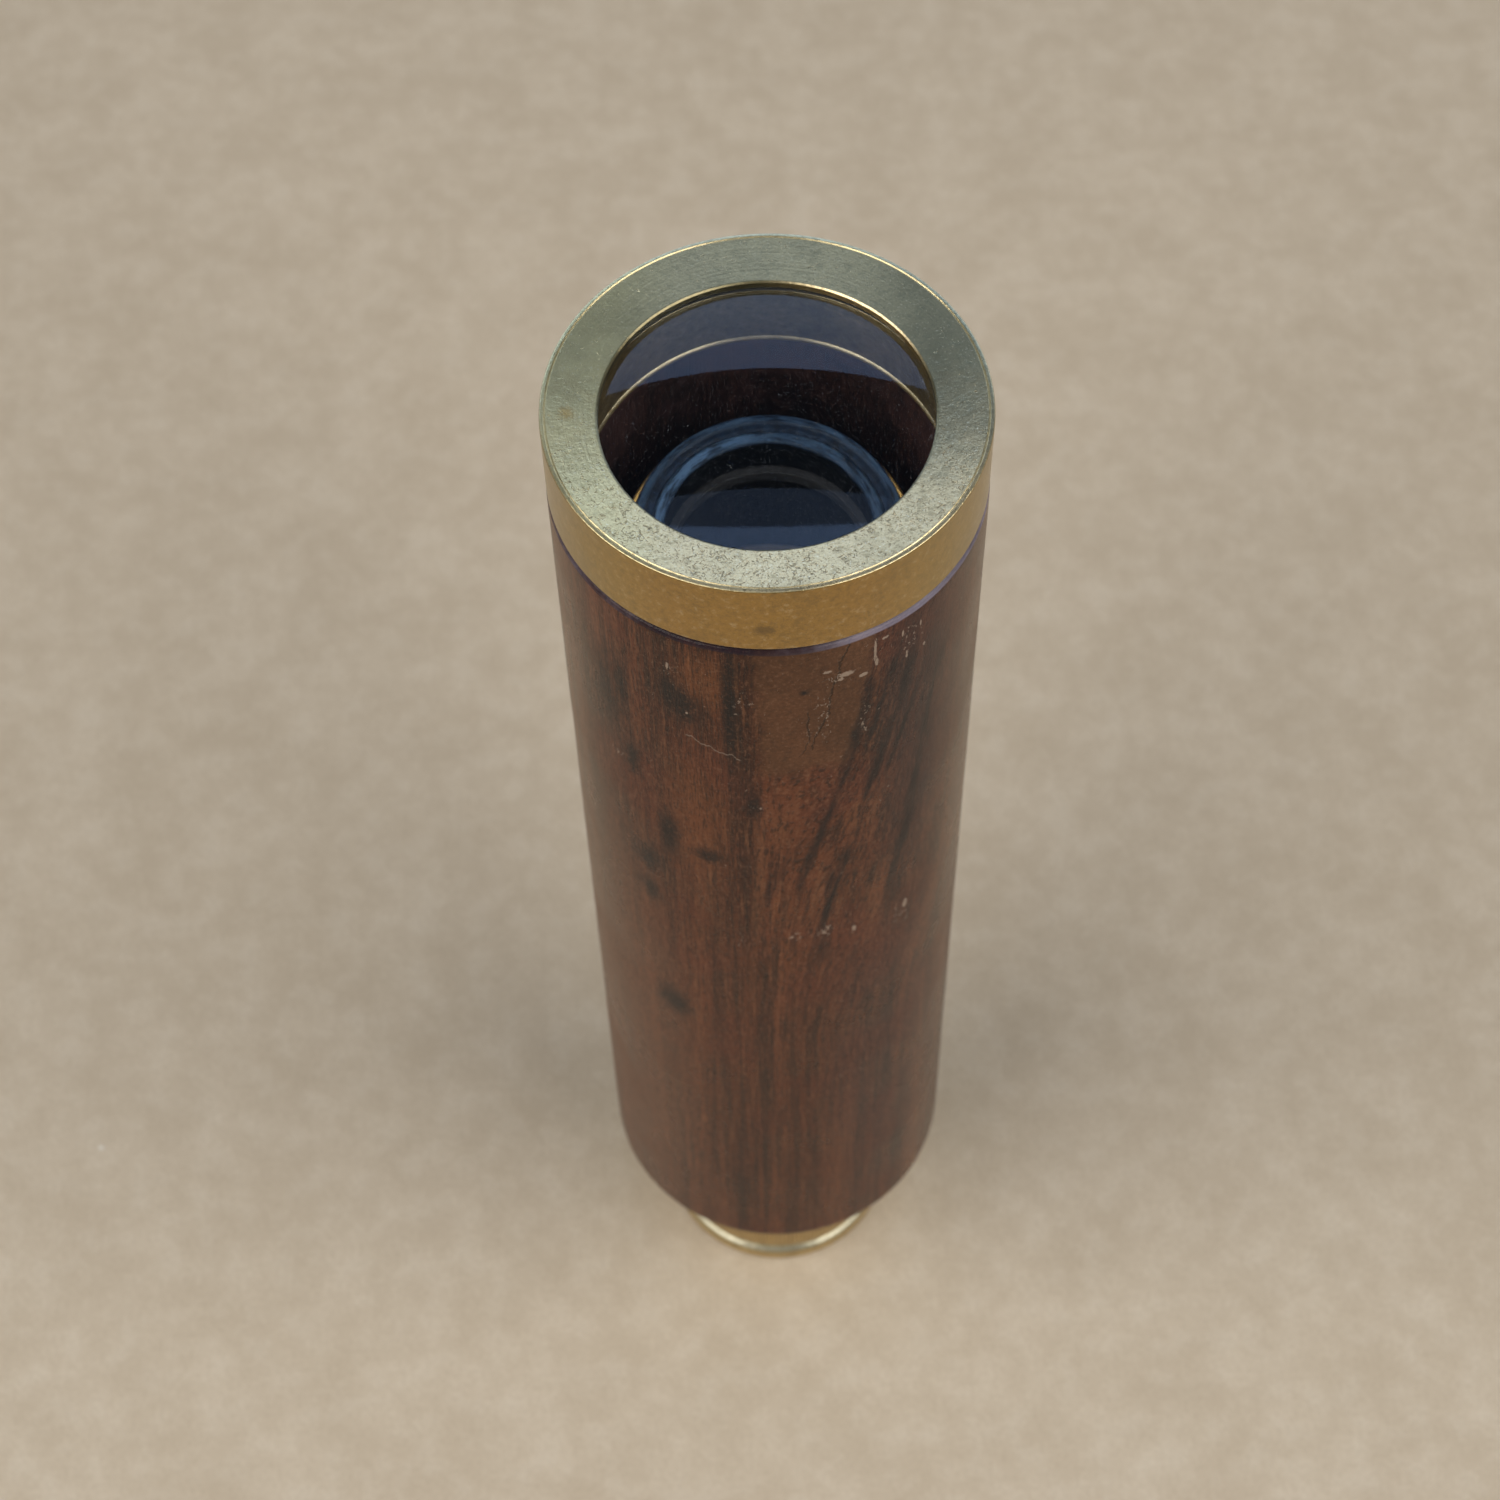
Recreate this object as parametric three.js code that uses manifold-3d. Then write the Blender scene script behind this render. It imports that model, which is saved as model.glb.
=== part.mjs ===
// A wooden kaleidoscope of the lens kind (a teleidoscope) with a brass draw tube.
//
// The barrel is a turned wooden tube. A brass cap with a domed lens screws on its upper end, and a thin brass
// draw tube with three long mirrors slides and turns in its lower end. The draw tube ends in a brass eyepiece,
// on which the kaleidoscope stands when it is put down.
//
// Millimetres, +Z up. The origin is the centre of the eyepiece's foot, so the object stands on z = 0.
import * as THREE from 'three';
import { mergeVertices } from 'three/addons/utils/BufferGeometryUtils.js';
import Module from 'manifold-3d';

const wasm = await Module();
wasm.setup();

// ---------------------------------------------------------------- driving dimensions

const TOTAL_HEIGHT = 178.5;
const CAP_RADIUS = 22.25;
const WOOD_RADIUS = 22.3;
const WOOD_BORE = 17.6;
const WOOD_BOTTOM = 25.6;
const LENS_RADIUS = 18.6;
const TUBE_RADIUS = 13.5;
const TUBE_WALL = 0.6;
const EYEPIECE_RADIUS = 15.2;

const RUNNING_GAP = 0.15; // radial play of the pieces that turn or slide in each other
const SEAT_GAP = 0.06; // play between pieces that rest on each other
const EDGE_BREAK = 0.2; // small chamfer on turned edges
const CUT_OVERSHOOT = 1; // how far a cutting tool reaches past the face it enters
const OUTER_SEGMENTS = 48; // facets round the pieces that show
const INNER_SEGMENTS = 36; // facets round the pieces inside

// Upper end: heights are measured down from the top face.
const CAP_BAND = 9.6;
const CAP_BEVEL = 0.25;
const CAP_LAND = 0.3; // flat ring round the rim of the top face
const CAP_HOLE = 16.55;
const CAP_DISH = 0.95; // how far the face falls from the rim to the hole
const CAP_EDGE = 0.15; // polished chamfer at the hole
const CAP_FLANGE = 1.78; // from the top face to the underside that holds the lens
const LENS_POCKET = 18.75;
const POCKET_BOTTOM = 5.02;
const THREAD_BORE = 20.75;
const THREAD_LEAD_IN = 0.4;

const LENS_CURVE = 80; // radius of the domed side
const LENS_HOLLOW = 600; // radius of the underside, which is very slightly hollow
const LENS_APEX = 0.12;
const LENS_EDGE = 1.8;
const WASHER_THICK = 0.3;
const RETAINER_THICK = 0.45;
const RETAINER_BORE = 17.2;
const RETAINER_SPLIT = 3; // width of the gap in the spring ring

const WOOD_SHOULDER = 10.0;
const WOOD_CHAMFER = 0.6;
const FERRULE_BORE = 17.4;
const FERRULE_SPIGOT = 18.9;
const FERRULE_SPIGOT_LENGTH = 3.95;
const FERRULE_THREAD = 20.5;
const FERRULE_TOP = 5.12;

const TUBE_END = 20.25;
const STOP_TOP = 18.25;
const STOP_RADIUS = 12.6;
const STOP_HOLE = 9.55;
const STOP_LIP = 10.75;
const STOP_LIP_HEIGHT = 0.35;
const STOP_EDGE = 0.3;
const STOP_SKIRT = 0.9; // how far the ring reaches into the tube
const INNER_STOP_THICK = 1.0;
const INNER_STOP_HOLE = 8.9;

// Lower end: heights are measured up from the foot.
const FOOT_RADIUS = 15.6;
const FOOT_FLAT = 14.0; // the flat ring it stands on lies between this radius and the next
const FOOT_INNER = 12.7;
const FOOT_INNER_HEIGHT = 1.2;
const FOOT_BEAD = 3.6;
const GROOVE_TOP = 4.6;
const GROOVE_RADIUS = 14.5;
const KNURL_TOP = 10.5;
const EYEPIECE_TOP = 13.5;
const NECK_RADIUS = 14.4;
const EYE_DISH = 2.6; // depth of the hollow that the eye looks into
const EYE_HOLE = 6.0;
const EYE_LIP = 1.5; // width of the sloping lip at the hollow's rim and at its hole
const EYE_WEB_TOP = 5.4;
const EYE_THREAD_BORE = 14.15;
const EYE_GLASS_THICK = 1.5;
const EYE_STOP_THICK = 0.5;
const PEEPHOLE = 3.0;

const COLLAR_TOP = 24.0;
const COLLAR_BEAD = 2.4;
const COLLAR_BEAD_RADIUS = 15.0;

const BUSH_FLANGE_RADIUS = 21.0;
const BUSH_FLANGE_BOTTOM = 24.1;
const BUSH_SPIGOT_TOP = 33.6;
const BUSH_BORE = 14.5;
const LINER_LENGTH = 7.0;
const LINER_INSET = 0.3;

const SCREW_COUNT = 3;
const SCREW_CIRCLE = 19.35;
const SCREW_HEAD = 1.35;
const SCREW_HEAD_HEIGHT = 0.9;
const SCREW_SHANK = 0.75;
const SCREW_LENGTH = 8.0;
const SCREW_POINT = 1.5;
const SCREW_SLOT = 0.35;
const SCREW_PLAY = 0.3;
const SCREW_SEGMENTS = 12;

const GUIDE_BOTTOM = 112;
const GUIDE_TOP = 122;
const GUIDE_COLLAR_RADIUS = 15.1;
const GUIDE_COLLAR_THICK = 1.5;

const LINER_WALL = 0.4;
const MIRROR_INSET = 5.45; // from the axis to each mirror's reflecting face
const MIRROR_THICK = 2.0;
const MIRROR_TOP = 146;
const MIRROR_EDGE_GAP = 0.12;
const END_RING_THICK = 2.0;
const END_RING_HOLE = 7.0;
const PACKING_GAP = 0.1;

// ---------------------------------------------------------------- derived dimensions

const fromTop = (depth) => TOTAL_HEIGHT - depth;
const TUBE_BORE = TUBE_RADIUS - TUBE_WALL;
const EYE_STACK_TOP = EYE_WEB_TOP + EYE_GLASS_THICK + EYE_STOP_THICK + 3 * SEAT_GAP;
const TUBE_BOTTOM = EYE_STACK_TOP + SEAT_GAP;
const TUBE_TOP = fromTop(TUBE_END);
const END_RING_TOP = TUBE_BOTTOM + END_RING_THICK;
const MIRROR_BOTTOM = END_RING_TOP + SEAT_GAP;
const STOP_BOTTOM = TUBE_TOP - STOP_SKIRT;
const INNER_STOP_BOTTOM = STOP_BOTTOM - SEAT_GAP - INNER_STOP_THICK;
const LENS_EDGE_TOP = fromTop(LENS_APEX) - sagitta(LENS_CURVE, LENS_RADIUS);
const LENS_BOTTOM = LENS_EDGE_TOP - LENS_EDGE;

// ---------------------------------------------------------------- materials

const finish = (color, roughness, metalness) => () =>
  new THREE.MeshStandardMaterial({ color, roughness, metalness });

const polishedBrass = finish(0xa89a6a, 0.32, 1);
const agedBrass = finish(0x97763f, 0.42, 1);
const rosewood = finish(0x4a2c20, 0.35, 0);
const clearGlass = finish(0xdfe8ee, 0.05, 0);
const blackRing = finish(0x1c232b, 0.45, 0);
const blackCard = finish(0x161616, 0.8, 0);
const mirrorGlass = finish(0xd5dadd, 0.05, 1);
const leather = finish(0x4b3323, 0.75, 0);
const felt = finish(0x2c2a2e, 0.95, 0);
const card = finish(0x9b8565, 0.9, 0);

// ---------------------------------------------------------------- building helpers

// Height of a spherical cap: how far a dome of the given radius of curvature falls at a distance from its axis.
function sagitta(curve, distance) {
  return curve - Math.sqrt(curve * curve - distance * distance);
}

// Points on a circular arc in the radius-height plane, from one angle to another, in degrees.
function arc(centreRadius, centreHeight, radius, fromDegrees, toDegrees, steps) {
  return Array.from({ length: steps + 1 }, (_, i) => {
    const angle = THREE.MathUtils.degToRad(fromDegrees + ((toDegrees - fromDegrees) * i) / steps);
    return [centreRadius + radius * Math.cos(angle), centreHeight + radius * Math.sin(angle)];
  });
}

// A turned solid from its outline of [radius, height] points, listed with the solid on the left hand:
// up the outside and down the bore. A ring's outline closes on its first point; a disc's ends on the axis.
function turned(outline, segments) {
  const onAxis = outline[0][0] === 0;
  const points = (onAxis ? outline : [...outline, outline[0]]).map(([r, z]) => new THREE.Vector2(r, z));
  const geometry = new THREE.LatheGeometry(points, segments);
  geometry.rotateX(Math.PI / 2);
  return geometry;
}

// A plain ring or, with no bore, a plain disc.
function ring(outer, inner, bottom, top, segments = INNER_SEGMENTS) {
  const outline = inner > 0
    ? [[outer, bottom], [outer, top], [inner, top], [inner, bottom]]
    : [[0, bottom], [outer, bottom], [outer, top], [0, top]];
  return turned(outline, segments);
}

// An upright prism from a closed outline of [x, y] points.
function prism(outline, bottom, top) {
  const shape = new THREE.Shape(outline.map(([x, y]) => new THREE.Vector2(x, y)));
  const geometry = new THREE.ExtrudeGeometry(shape, { depth: top - bottom, bevelEnabled: false });
  geometry.translate(0, 0, bottom);
  return geometry;
}

function toSolid(geometry) {
  const bare = geometry.clone();
  bare.deleteAttribute('normal');
  bare.deleteAttribute('uv');
  const merged = mergeVertices(bare, 1e-5);
  const vertProperties = new Float32Array(merged.attributes.position.array);
  const triVerts = new Uint32Array(merged.index.array);
  return new wasm.Manifold(new wasm.Mesh({ numProp: 3, vertProperties, triVerts }));
}

function toGeometry(solid) {
  const { vertProperties, triVerts } = solid.getMesh();
  const geometry = new THREE.BufferGeometry();
  geometry.setAttribute('position', new THREE.BufferAttribute(new Float32Array(vertProperties), 3));
  geometry.setIndex(new THREE.BufferAttribute(new Uint32Array(triVerts), 1));
  geometry.computeVertexNormals();
  return geometry;
}

function cut(body, ...tools) {
  const solid = tools.reduce((rest, tool) => rest.subtract(toSolid(tool)), toSolid(body));
  return toGeometry(solid);
}

const model = new THREE.Group();

function addPiece(name, geometry, material, parent = model) {
  const mesh = new THREE.Mesh(geometry, material());
  mesh.name = name;
  parent.add(mesh);
  return mesh;
}

// A group turned about the kaleidoscope's axis by one share of a full turn.
function turnedGroup(index, count) {
  const group = new THREE.Group();
  group.rotation.z = (index * 2 * Math.PI) / count;
  model.add(group);
  return group;
}

// ---------------------------------------------------------------- barrel

function woodBarrel() {
  const top = fromTop(WOOD_SHOULDER);
  const seat = top - FERRULE_SPIGOT_LENGTH - SEAT_GAP;
  const tube = turned([
    [WOOD_RADIUS - WOOD_CHAMFER, WOOD_BOTTOM],
    [WOOD_RADIUS, WOOD_BOTTOM + WOOD_CHAMFER],
    [WOOD_RADIUS, top - WOOD_CHAMFER],
    [WOOD_RADIUS - WOOD_CHAMFER, top],
    [FERRULE_SPIGOT + SEAT_GAP, top],
    [FERRULE_SPIGOT + SEAT_GAP, seat],
    [WOOD_BORE, seat],
    [WOOD_BORE, WOOD_BOTTOM],
  ], OUTER_SEGMENTS);
  return cut(tube, ...screwPlaces((place) => {
    const hole = ring(SCREW_SHANK + SCREW_PLAY, 0, WOOD_BOTTOM - CUT_OVERSHOOT,
      screwTop() + SCREW_PLAY, SCREW_SEGMENTS);
    return hole.applyMatrix4(place);
  }));
}

function objectiveFerrule() {
  const shoulder = fromTop(WOOD_SHOULDER) + SEAT_GAP;
  const top = fromTop(FERRULE_TOP);
  const bottom = fromTop(WOOD_SHOULDER) - FERRULE_SPIGOT_LENGTH;
  return turned([
    [FERRULE_SPIGOT, bottom],
    [FERRULE_SPIGOT, shoulder],
    [FERRULE_THREAD, shoulder],
    [FERRULE_THREAD, top - THREAD_LEAD_IN],
    [FERRULE_THREAD - THREAD_LEAD_IN, top],
    [FERRULE_BORE, top],
    [FERRULE_BORE, bottom],
  ], OUTER_SEGMENTS);
}

const screwTop = () => BUSH_FLANGE_BOTTOM + SCREW_LENGTH;

// One transform for each bush screw, evenly round the flange.
function screwPlaces(make) {
  return Array.from({ length: SCREW_COUNT }, (_, i) => {
    const place = new THREE.Matrix4().makeRotationZ(((i + 0.5) * 2 * Math.PI) / SCREW_COUNT);
    return make(place.multiply(new THREE.Matrix4().makeTranslation(SCREW_CIRCLE, 0, 0)));
  });
}

// Countersunk head with a slot, and a plain shank that tapers to a point at its end.
function bushScrew(place) {
  const bottom = BUSH_FLANGE_BOTTOM;
  const body = turned([
    [0, bottom],
    [SCREW_HEAD, bottom],
    [SCREW_SHANK, bottom + SCREW_HEAD_HEIGHT],
    [SCREW_SHANK, screwTop() - SCREW_POINT],
    [0, screwTop()],
  ], SCREW_SEGMENTS);
  const slot = new THREE.BoxGeometry(3 * SCREW_HEAD, SCREW_SLOT, 2 * SCREW_SLOT);
  slot.translate(0, 0, bottom);
  return cut(body, slot).applyMatrix4(place);
}

function lowerBush() {
  const flangeTop = WOOD_BOTTOM - SEAT_GAP;
  const linerBottom = BUSH_SPIGOT_TOP - LINER_LENGTH;
  const body = turned([
    [BUSH_FLANGE_RADIUS, BUSH_FLANGE_BOTTOM],
    [BUSH_FLANGE_RADIUS, flangeTop],
    [WOOD_BORE - SEAT_GAP, flangeTop],
    [WOOD_BORE - SEAT_GAP, BUSH_SPIGOT_TOP],
    [BUSH_BORE, BUSH_SPIGOT_TOP],
    [BUSH_BORE, linerBottom],
    [TUBE_RADIUS + 2 * RUNNING_GAP, linerBottom],
    [TUBE_RADIUS + 2 * RUNNING_GAP, BUSH_FLANGE_BOTTOM],
  ], OUTER_SEGMENTS);
  return cut(body, ...screwPlaces((place) => turned([
    [0, BUSH_FLANGE_BOTTOM - CUT_OVERSHOOT],
    [SCREW_HEAD + SCREW_PLAY, BUSH_FLANGE_BOTTOM - CUT_OVERSHOOT],
    [SCREW_HEAD + SCREW_PLAY, BUSH_FLANGE_BOTTOM],
    [SCREW_SHANK + SCREW_PLAY, BUSH_FLANGE_BOTTOM + SCREW_HEAD_HEIGHT],
    [SCREW_SHANK + SCREW_PLAY, WOOD_BOTTOM + CUT_OVERSHOOT],
    [0, WOOD_BOTTOM + CUT_OVERSHOOT],
  ], SCREW_SEGMENTS).applyMatrix4(place)));
}

function bushLiner() {
  const bottom = BUSH_SPIGOT_TOP - LINER_LENGTH + SEAT_GAP;
  return ring(BUSH_BORE - SEAT_GAP, TUBE_RADIUS + RUNNING_GAP, bottom, BUSH_SPIGOT_TOP - LINER_INSET);
}

// ---------------------------------------------------------------- objective cap and lens

function objectiveCap() {
  const rimRadius = CAP_RADIUS - CAP_BEVEL;
  const landInner = rimRadius - CAP_LAND;
  const bottom = fromTop(CAP_BAND);
  const threadTop = fromTop(POCKET_BOTTOM);
  return turned([
    [CAP_RADIUS, bottom],
    [CAP_RADIUS, fromTop(CAP_BEVEL)],
    [rimRadius, TOTAL_HEIGHT],
    [landInner, TOTAL_HEIGHT],
    [CAP_HOLE + CAP_EDGE, fromTop(CAP_DISH)],
    [CAP_HOLE, fromTop(CAP_DISH + CAP_EDGE)],
    [CAP_HOLE, fromTop(CAP_FLANGE)],
    [LENS_POCKET, fromTop(CAP_FLANGE)],
    [LENS_POCKET, threadTop],
    [THREAD_BORE, threadTop],
    [THREAD_BORE, bottom + THREAD_LEAD_IN],
    [THREAD_BORE + THREAD_LEAD_IN, bottom],
  ], OUTER_SEGMENTS);
}

function objectiveLens() {
  const side = (curve, middle, steps) => Array.from({ length: steps + 1 }, (_, i) => {
    const distance = (LENS_RADIUS * i) / steps;
    return [distance, middle - sagitta(curve, distance)];
  });
  const underside = side(LENS_HOLLOW, LENS_BOTTOM + sagitta(LENS_HOLLOW, LENS_RADIUS), 3);
  const dome = side(LENS_CURVE, fromTop(LENS_APEX), 7).reverse();
  return turned([...underside, ...dome], OUTER_SEGMENTS);
}

const washerTop = () => LENS_BOTTOM - SEAT_GAP;
const retainerTop = () => washerTop() - WASHER_THICK - SEAT_GAP;

function lensWasher() {
  return ring(LENS_RADIUS, RETAINER_BORE, washerTop() - WASHER_THICK, washerTop());
}

// A spring ring with a gap, so that it can be squeezed into the pocket under the lens.
function lensRetainer() {
  const top = retainerTop();
  const body = ring(LENS_POCKET - SEAT_GAP, RETAINER_BORE, top - RETAINER_THICK, top);
  const gap = new THREE.BoxGeometry(LENS_POCKET, RETAINER_SPLIT, 2 * CUT_OVERSHOOT);
  gap.translate(LENS_POCKET, 0, top);
  return cut(body, gap);
}

// ---------------------------------------------------------------- draw tube

function drawTube() {
  return ring(TUBE_RADIUS, TUBE_BORE, TUBE_BOTTOM, TUBE_TOP, OUTER_SEGMENTS);
}

// The ring stands proud of the tube's end and has a raised lip round its hole.
function frontStopRing() {
  const top = fromTop(STOP_TOP);
  return turned([
    [TUBE_BORE - SEAT_GAP, STOP_BOTTOM],
    [TUBE_BORE - SEAT_GAP, TUBE_TOP - EDGE_BREAK],
    [STOP_RADIUS, TUBE_TOP],
    [STOP_RADIUS, top - STOP_LIP_HEIGHT - STOP_EDGE],
    [STOP_RADIUS - STOP_EDGE, top - STOP_LIP_HEIGHT],
    [STOP_LIP + EDGE_BREAK, top - STOP_LIP_HEIGHT],
    [STOP_LIP - EDGE_BREAK, top],
    [STOP_HOLE + EDGE_BREAK, top],
    [STOP_HOLE, top - EDGE_BREAK],
    [STOP_HOLE, STOP_BOTTOM],
  ], INNER_SEGMENTS);
}

function innerStop() {
  const top = STOP_BOTTOM - SEAT_GAP;
  return ring(TUBE_BORE - SEAT_GAP, INNER_STOP_HOLE, INNER_STOP_BOTTOM, top);
}

function tubeLiner() {
  const outer = TUBE_BORE - SEAT_GAP;
  return ring(outer, outer - LINER_WALL, MIRROR_BOTTOM, INNER_STOP_BOTTOM - SEAT_GAP);
}

function guideRing() {
  return ring(WOOD_BORE - RUNNING_GAP, TUBE_RADIUS + RUNNING_GAP, GUIDE_BOTTOM, GUIDE_TOP);
}

function guideCollar(bottom) {
  const top = bottom + GUIDE_COLLAR_THICK;
  return ring(GUIDE_COLLAR_RADIUS, TUBE_RADIUS + SEAT_GAP, bottom, top);
}

// One strip of the three-sided mirror box. Its reflecting face looks at the axis.
function mirrorStrip() {
  const halfWidth = MIRROR_INSET * Math.tan(Math.PI / 3) - MIRROR_EDGE_GAP;
  return prism([
    [MIRROR_INSET, -halfWidth],
    [MIRROR_INSET + MIRROR_THICK, -halfWidth],
    [MIRROR_INSET + MIRROR_THICK, halfWidth],
    [MIRROR_INSET, halfWidth],
  ], MIRROR_BOTTOM, MIRROR_TOP);
}

// Fills the space between a mirror's back and the lined tube.
function mirrorPacking() {
  const chord = MIRROR_INSET + MIRROR_THICK + PACKING_GAP;
  const radius = TUBE_BORE - SEAT_GAP - LINER_WALL - 2 * PACKING_GAP;
  const halfAngle = THREE.MathUtils.radToDeg(Math.acos(chord / radius));
  return prism(arc(0, 0, radius, -halfAngle, halfAngle, 10), MIRROR_BOTTOM, MIRROR_TOP);
}

function mirrorEndRing() {
  return ring(TUBE_BORE - SEAT_GAP, END_RING_HOLE, TUBE_BOTTOM, END_RING_TOP);
}

// ---------------------------------------------------------------- eyepiece

function eyepieceCollar() {
  const bore = TUBE_RADIUS + SEAT_GAP;
  const beadHalf = COLLAR_BEAD / 2;
  const beadMiddle = COLLAR_TOP - beadHalf;
  return turned([
    [EYE_THREAD_BORE - SEAT_GAP, TUBE_BOTTOM],
    [EYE_THREAD_BORE - SEAT_GAP, EYEPIECE_TOP + SEAT_GAP],
    [NECK_RADIUS, EYEPIECE_TOP + SEAT_GAP],
    [NECK_RADIUS, COLLAR_TOP - COLLAR_BEAD],
    ...arc(COLLAR_BEAD_RADIUS - beadHalf, beadMiddle, beadHalf, -60, 60, 4),
    [NECK_RADIUS, COLLAR_TOP],
    [bore, COLLAR_TOP],
    [bore, TUBE_BOTTOM],
  ], INNER_SEGMENTS);
}

// The foot is a rounded bead, then a groove, a knurled band, and a cove up to the collar's neck.
function eyepieceCap() {
  const beadHalf = FOOT_BEAD / 2;
  const coveBottom = KNURL_TOP + EDGE_BREAK;
  const coveTop = EYEPIECE_TOP - EDGE_BREAK;
  const coveSteps = 4;
  const cove = Array.from({ length: coveSteps + 1 }, (_, i) => {
    const angle = (i / coveSteps) * (Math.PI / 2);
    const radius = NECK_RADIUS + (EYEPIECE_RADIUS - 2 * EDGE_BREAK - NECK_RADIUS) * (1 - Math.sin(angle));
    return [radius, coveTop - (coveTop - coveBottom) * Math.cos(angle)];
  });
  const bead = arc(FOOT_RADIUS - beadHalf, beadHalf, beadHalf, -80, 66, 8);
  return turned([
    [FOOT_FLAT, 0],
    ...bead,
    [GROOVE_RADIUS, FOOT_BEAD],
    [GROOVE_RADIUS, GROOVE_TOP],
    [EYEPIECE_RADIUS - EDGE_BREAK, GROOVE_TOP],
    [EYEPIECE_RADIUS, GROOVE_TOP + EDGE_BREAK],
    [EYEPIECE_RADIUS, KNURL_TOP - EDGE_BREAK],
    [EYEPIECE_RADIUS - EDGE_BREAK, KNURL_TOP],
    ...cove,
    [NECK_RADIUS, EYEPIECE_TOP],
    [EYE_THREAD_BORE, EYEPIECE_TOP],
    [EYE_THREAD_BORE, EYE_WEB_TOP],
    [EYE_HOLE, EYE_WEB_TOP],
    [EYE_HOLE, EYE_DISH + EYE_LIP],
    [EYE_HOLE + EYE_LIP, EYE_DISH],
    [FOOT_INNER - EYE_LIP, FOOT_INNER_HEIGHT],
    [FOOT_INNER, 0],
  ], OUTER_SEGMENTS);
}

function eyeGlass() {
  const bottom = EYE_WEB_TOP + SEAT_GAP;
  return ring(EYE_THREAD_BORE - RUNNING_GAP, 0, bottom, bottom + EYE_GLASS_THICK);
}

function eyeStop() {
  const bottom = EYE_WEB_TOP + EYE_GLASS_THICK + 2 * SEAT_GAP;
  return ring(EYE_THREAD_BORE - RUNNING_GAP, PEEPHOLE, bottom, bottom + EYE_STOP_THICK);
}

// ---------------------------------------------------------------- assembly

addPiece('wood_barrel', woodBarrel(), rosewood);
addPiece('objective_ferrule', objectiveFerrule(), agedBrass);
addPiece('lower_bush', lowerBush(), agedBrass);
addPiece('bush_liner', bushLiner(), felt);
screwPlaces(bushScrew).forEach((screw, i) => addPiece(`bush_screw_${i + 1}`, screw, agedBrass));

addPiece('objective_lens', objectiveLens(), clearGlass);
addPiece('lens_washer', lensWasher(), blackCard);
addPiece('objective_cap', objectiveCap(), polishedBrass);
addPiece('lens_retainer', lensRetainer(), agedBrass);

addPiece('guide_ring', guideRing(), leather);

addPiece('draw_tube', drawTube(), polishedBrass);
addPiece('guide_collar_upper', guideCollar(GUIDE_TOP + RUNNING_GAP), agedBrass);
addPiece('guide_collar_lower', guideCollar(GUIDE_BOTTOM - RUNNING_GAP - GUIDE_COLLAR_THICK), agedBrass);
addPiece('front_stop_ring', frontStopRing(), blackRing);
addPiece('inner_stop', innerStop(), blackRing);
addPiece('tube_liner', tubeLiner(), blackCard);
for (let i = 0; i < 3; i += 1) {
  const side = turnedGroup(i, 3);
  addPiece(`mirror_${i + 1}`, mirrorStrip(), mirrorGlass, side);
  addPiece(`mirror_packing_${i + 1}`, mirrorPacking(), card, side);
}
addPiece('mirror_end_ring', mirrorEndRing(), blackRing);
addPiece('eyepiece_collar', eyepieceCollar(), agedBrass);
addPiece('eyepiece_cap', eyepieceCap(), polishedBrass);
addPiece('eye_glass', eyeGlass(), clearGlass);
addPiece('eye_stop', eyeStop(), blackRing);

export default model;
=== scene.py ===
"""Looks for the wooden kaleidoscope: turned rosewood barrel, brass cap with a domed lens, brass draw tube.

Everything is in metres in the part's own frame: +Z runs from the eyepiece's foot up to the lens, and the
front, which the camera sees, is -Y. Turned pieces are lathed here as fine meshes on the CAD's dimensions.
"""
from math import ceil, cos, dist, pi, radians, sin, sqrt, tan

import bpy
from mathutils import Euler, Matrix, Vector
from mathutils.noise import noise


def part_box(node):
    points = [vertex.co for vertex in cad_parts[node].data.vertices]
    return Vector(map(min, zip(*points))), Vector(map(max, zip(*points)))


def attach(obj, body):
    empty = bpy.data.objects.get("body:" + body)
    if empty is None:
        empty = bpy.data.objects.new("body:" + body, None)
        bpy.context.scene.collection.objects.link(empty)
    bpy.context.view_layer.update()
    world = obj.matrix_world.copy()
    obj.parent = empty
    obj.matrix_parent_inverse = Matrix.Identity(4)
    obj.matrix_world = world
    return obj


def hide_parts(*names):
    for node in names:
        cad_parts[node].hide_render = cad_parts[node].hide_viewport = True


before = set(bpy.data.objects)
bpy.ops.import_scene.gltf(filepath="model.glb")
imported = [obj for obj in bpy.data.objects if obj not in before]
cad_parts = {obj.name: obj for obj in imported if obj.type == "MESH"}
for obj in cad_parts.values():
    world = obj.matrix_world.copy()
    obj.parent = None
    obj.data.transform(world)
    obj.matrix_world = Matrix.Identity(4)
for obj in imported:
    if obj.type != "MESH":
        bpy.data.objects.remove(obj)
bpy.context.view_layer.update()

MM = 0.001
FINEST = 320  # facets round the pieces that show most
FINE = 256
PLAIN = 160  # facets round the inner pieces
SHARP = 38  # degrees above which an edge shows as an edge

# ---- sizes, in millimetres


def outer(node):
    """The radius of a turned node."""
    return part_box(node)[1].x / MM


def heights(node):
    """A node's lowest and highest level."""
    low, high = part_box(node)
    return low.z / MM, high.z / MM


CAP_RADIUS = outer("objective_cap")
CAP_BOTTOM, TOP = heights("objective_cap")
WOOD_RADIUS = outer("wood_barrel")
WOOD_LOW, WOOD_HIGH = heights("wood_barrel")
FERRULE_LOW, FERRULE_HIGH = heights("objective_ferrule")
LENS_RADIUS = outer("objective_lens")
LENS_LOW = heights("objective_lens")[0]
TUBE_RADIUS = outer("draw_tube")
TUBE_LOW, TUBE_HIGH = heights("draw_tube")
BUSH_LOW, BUSH_HIGH = heights("lower_bush")
COLLAR_HIGH = heights("eyepiece_collar")[1]
FOOT_RADIUS = outer("eyepiece_cap")
EYEPIECE_HIGH = heights("eyepiece_cap")[1]

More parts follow.
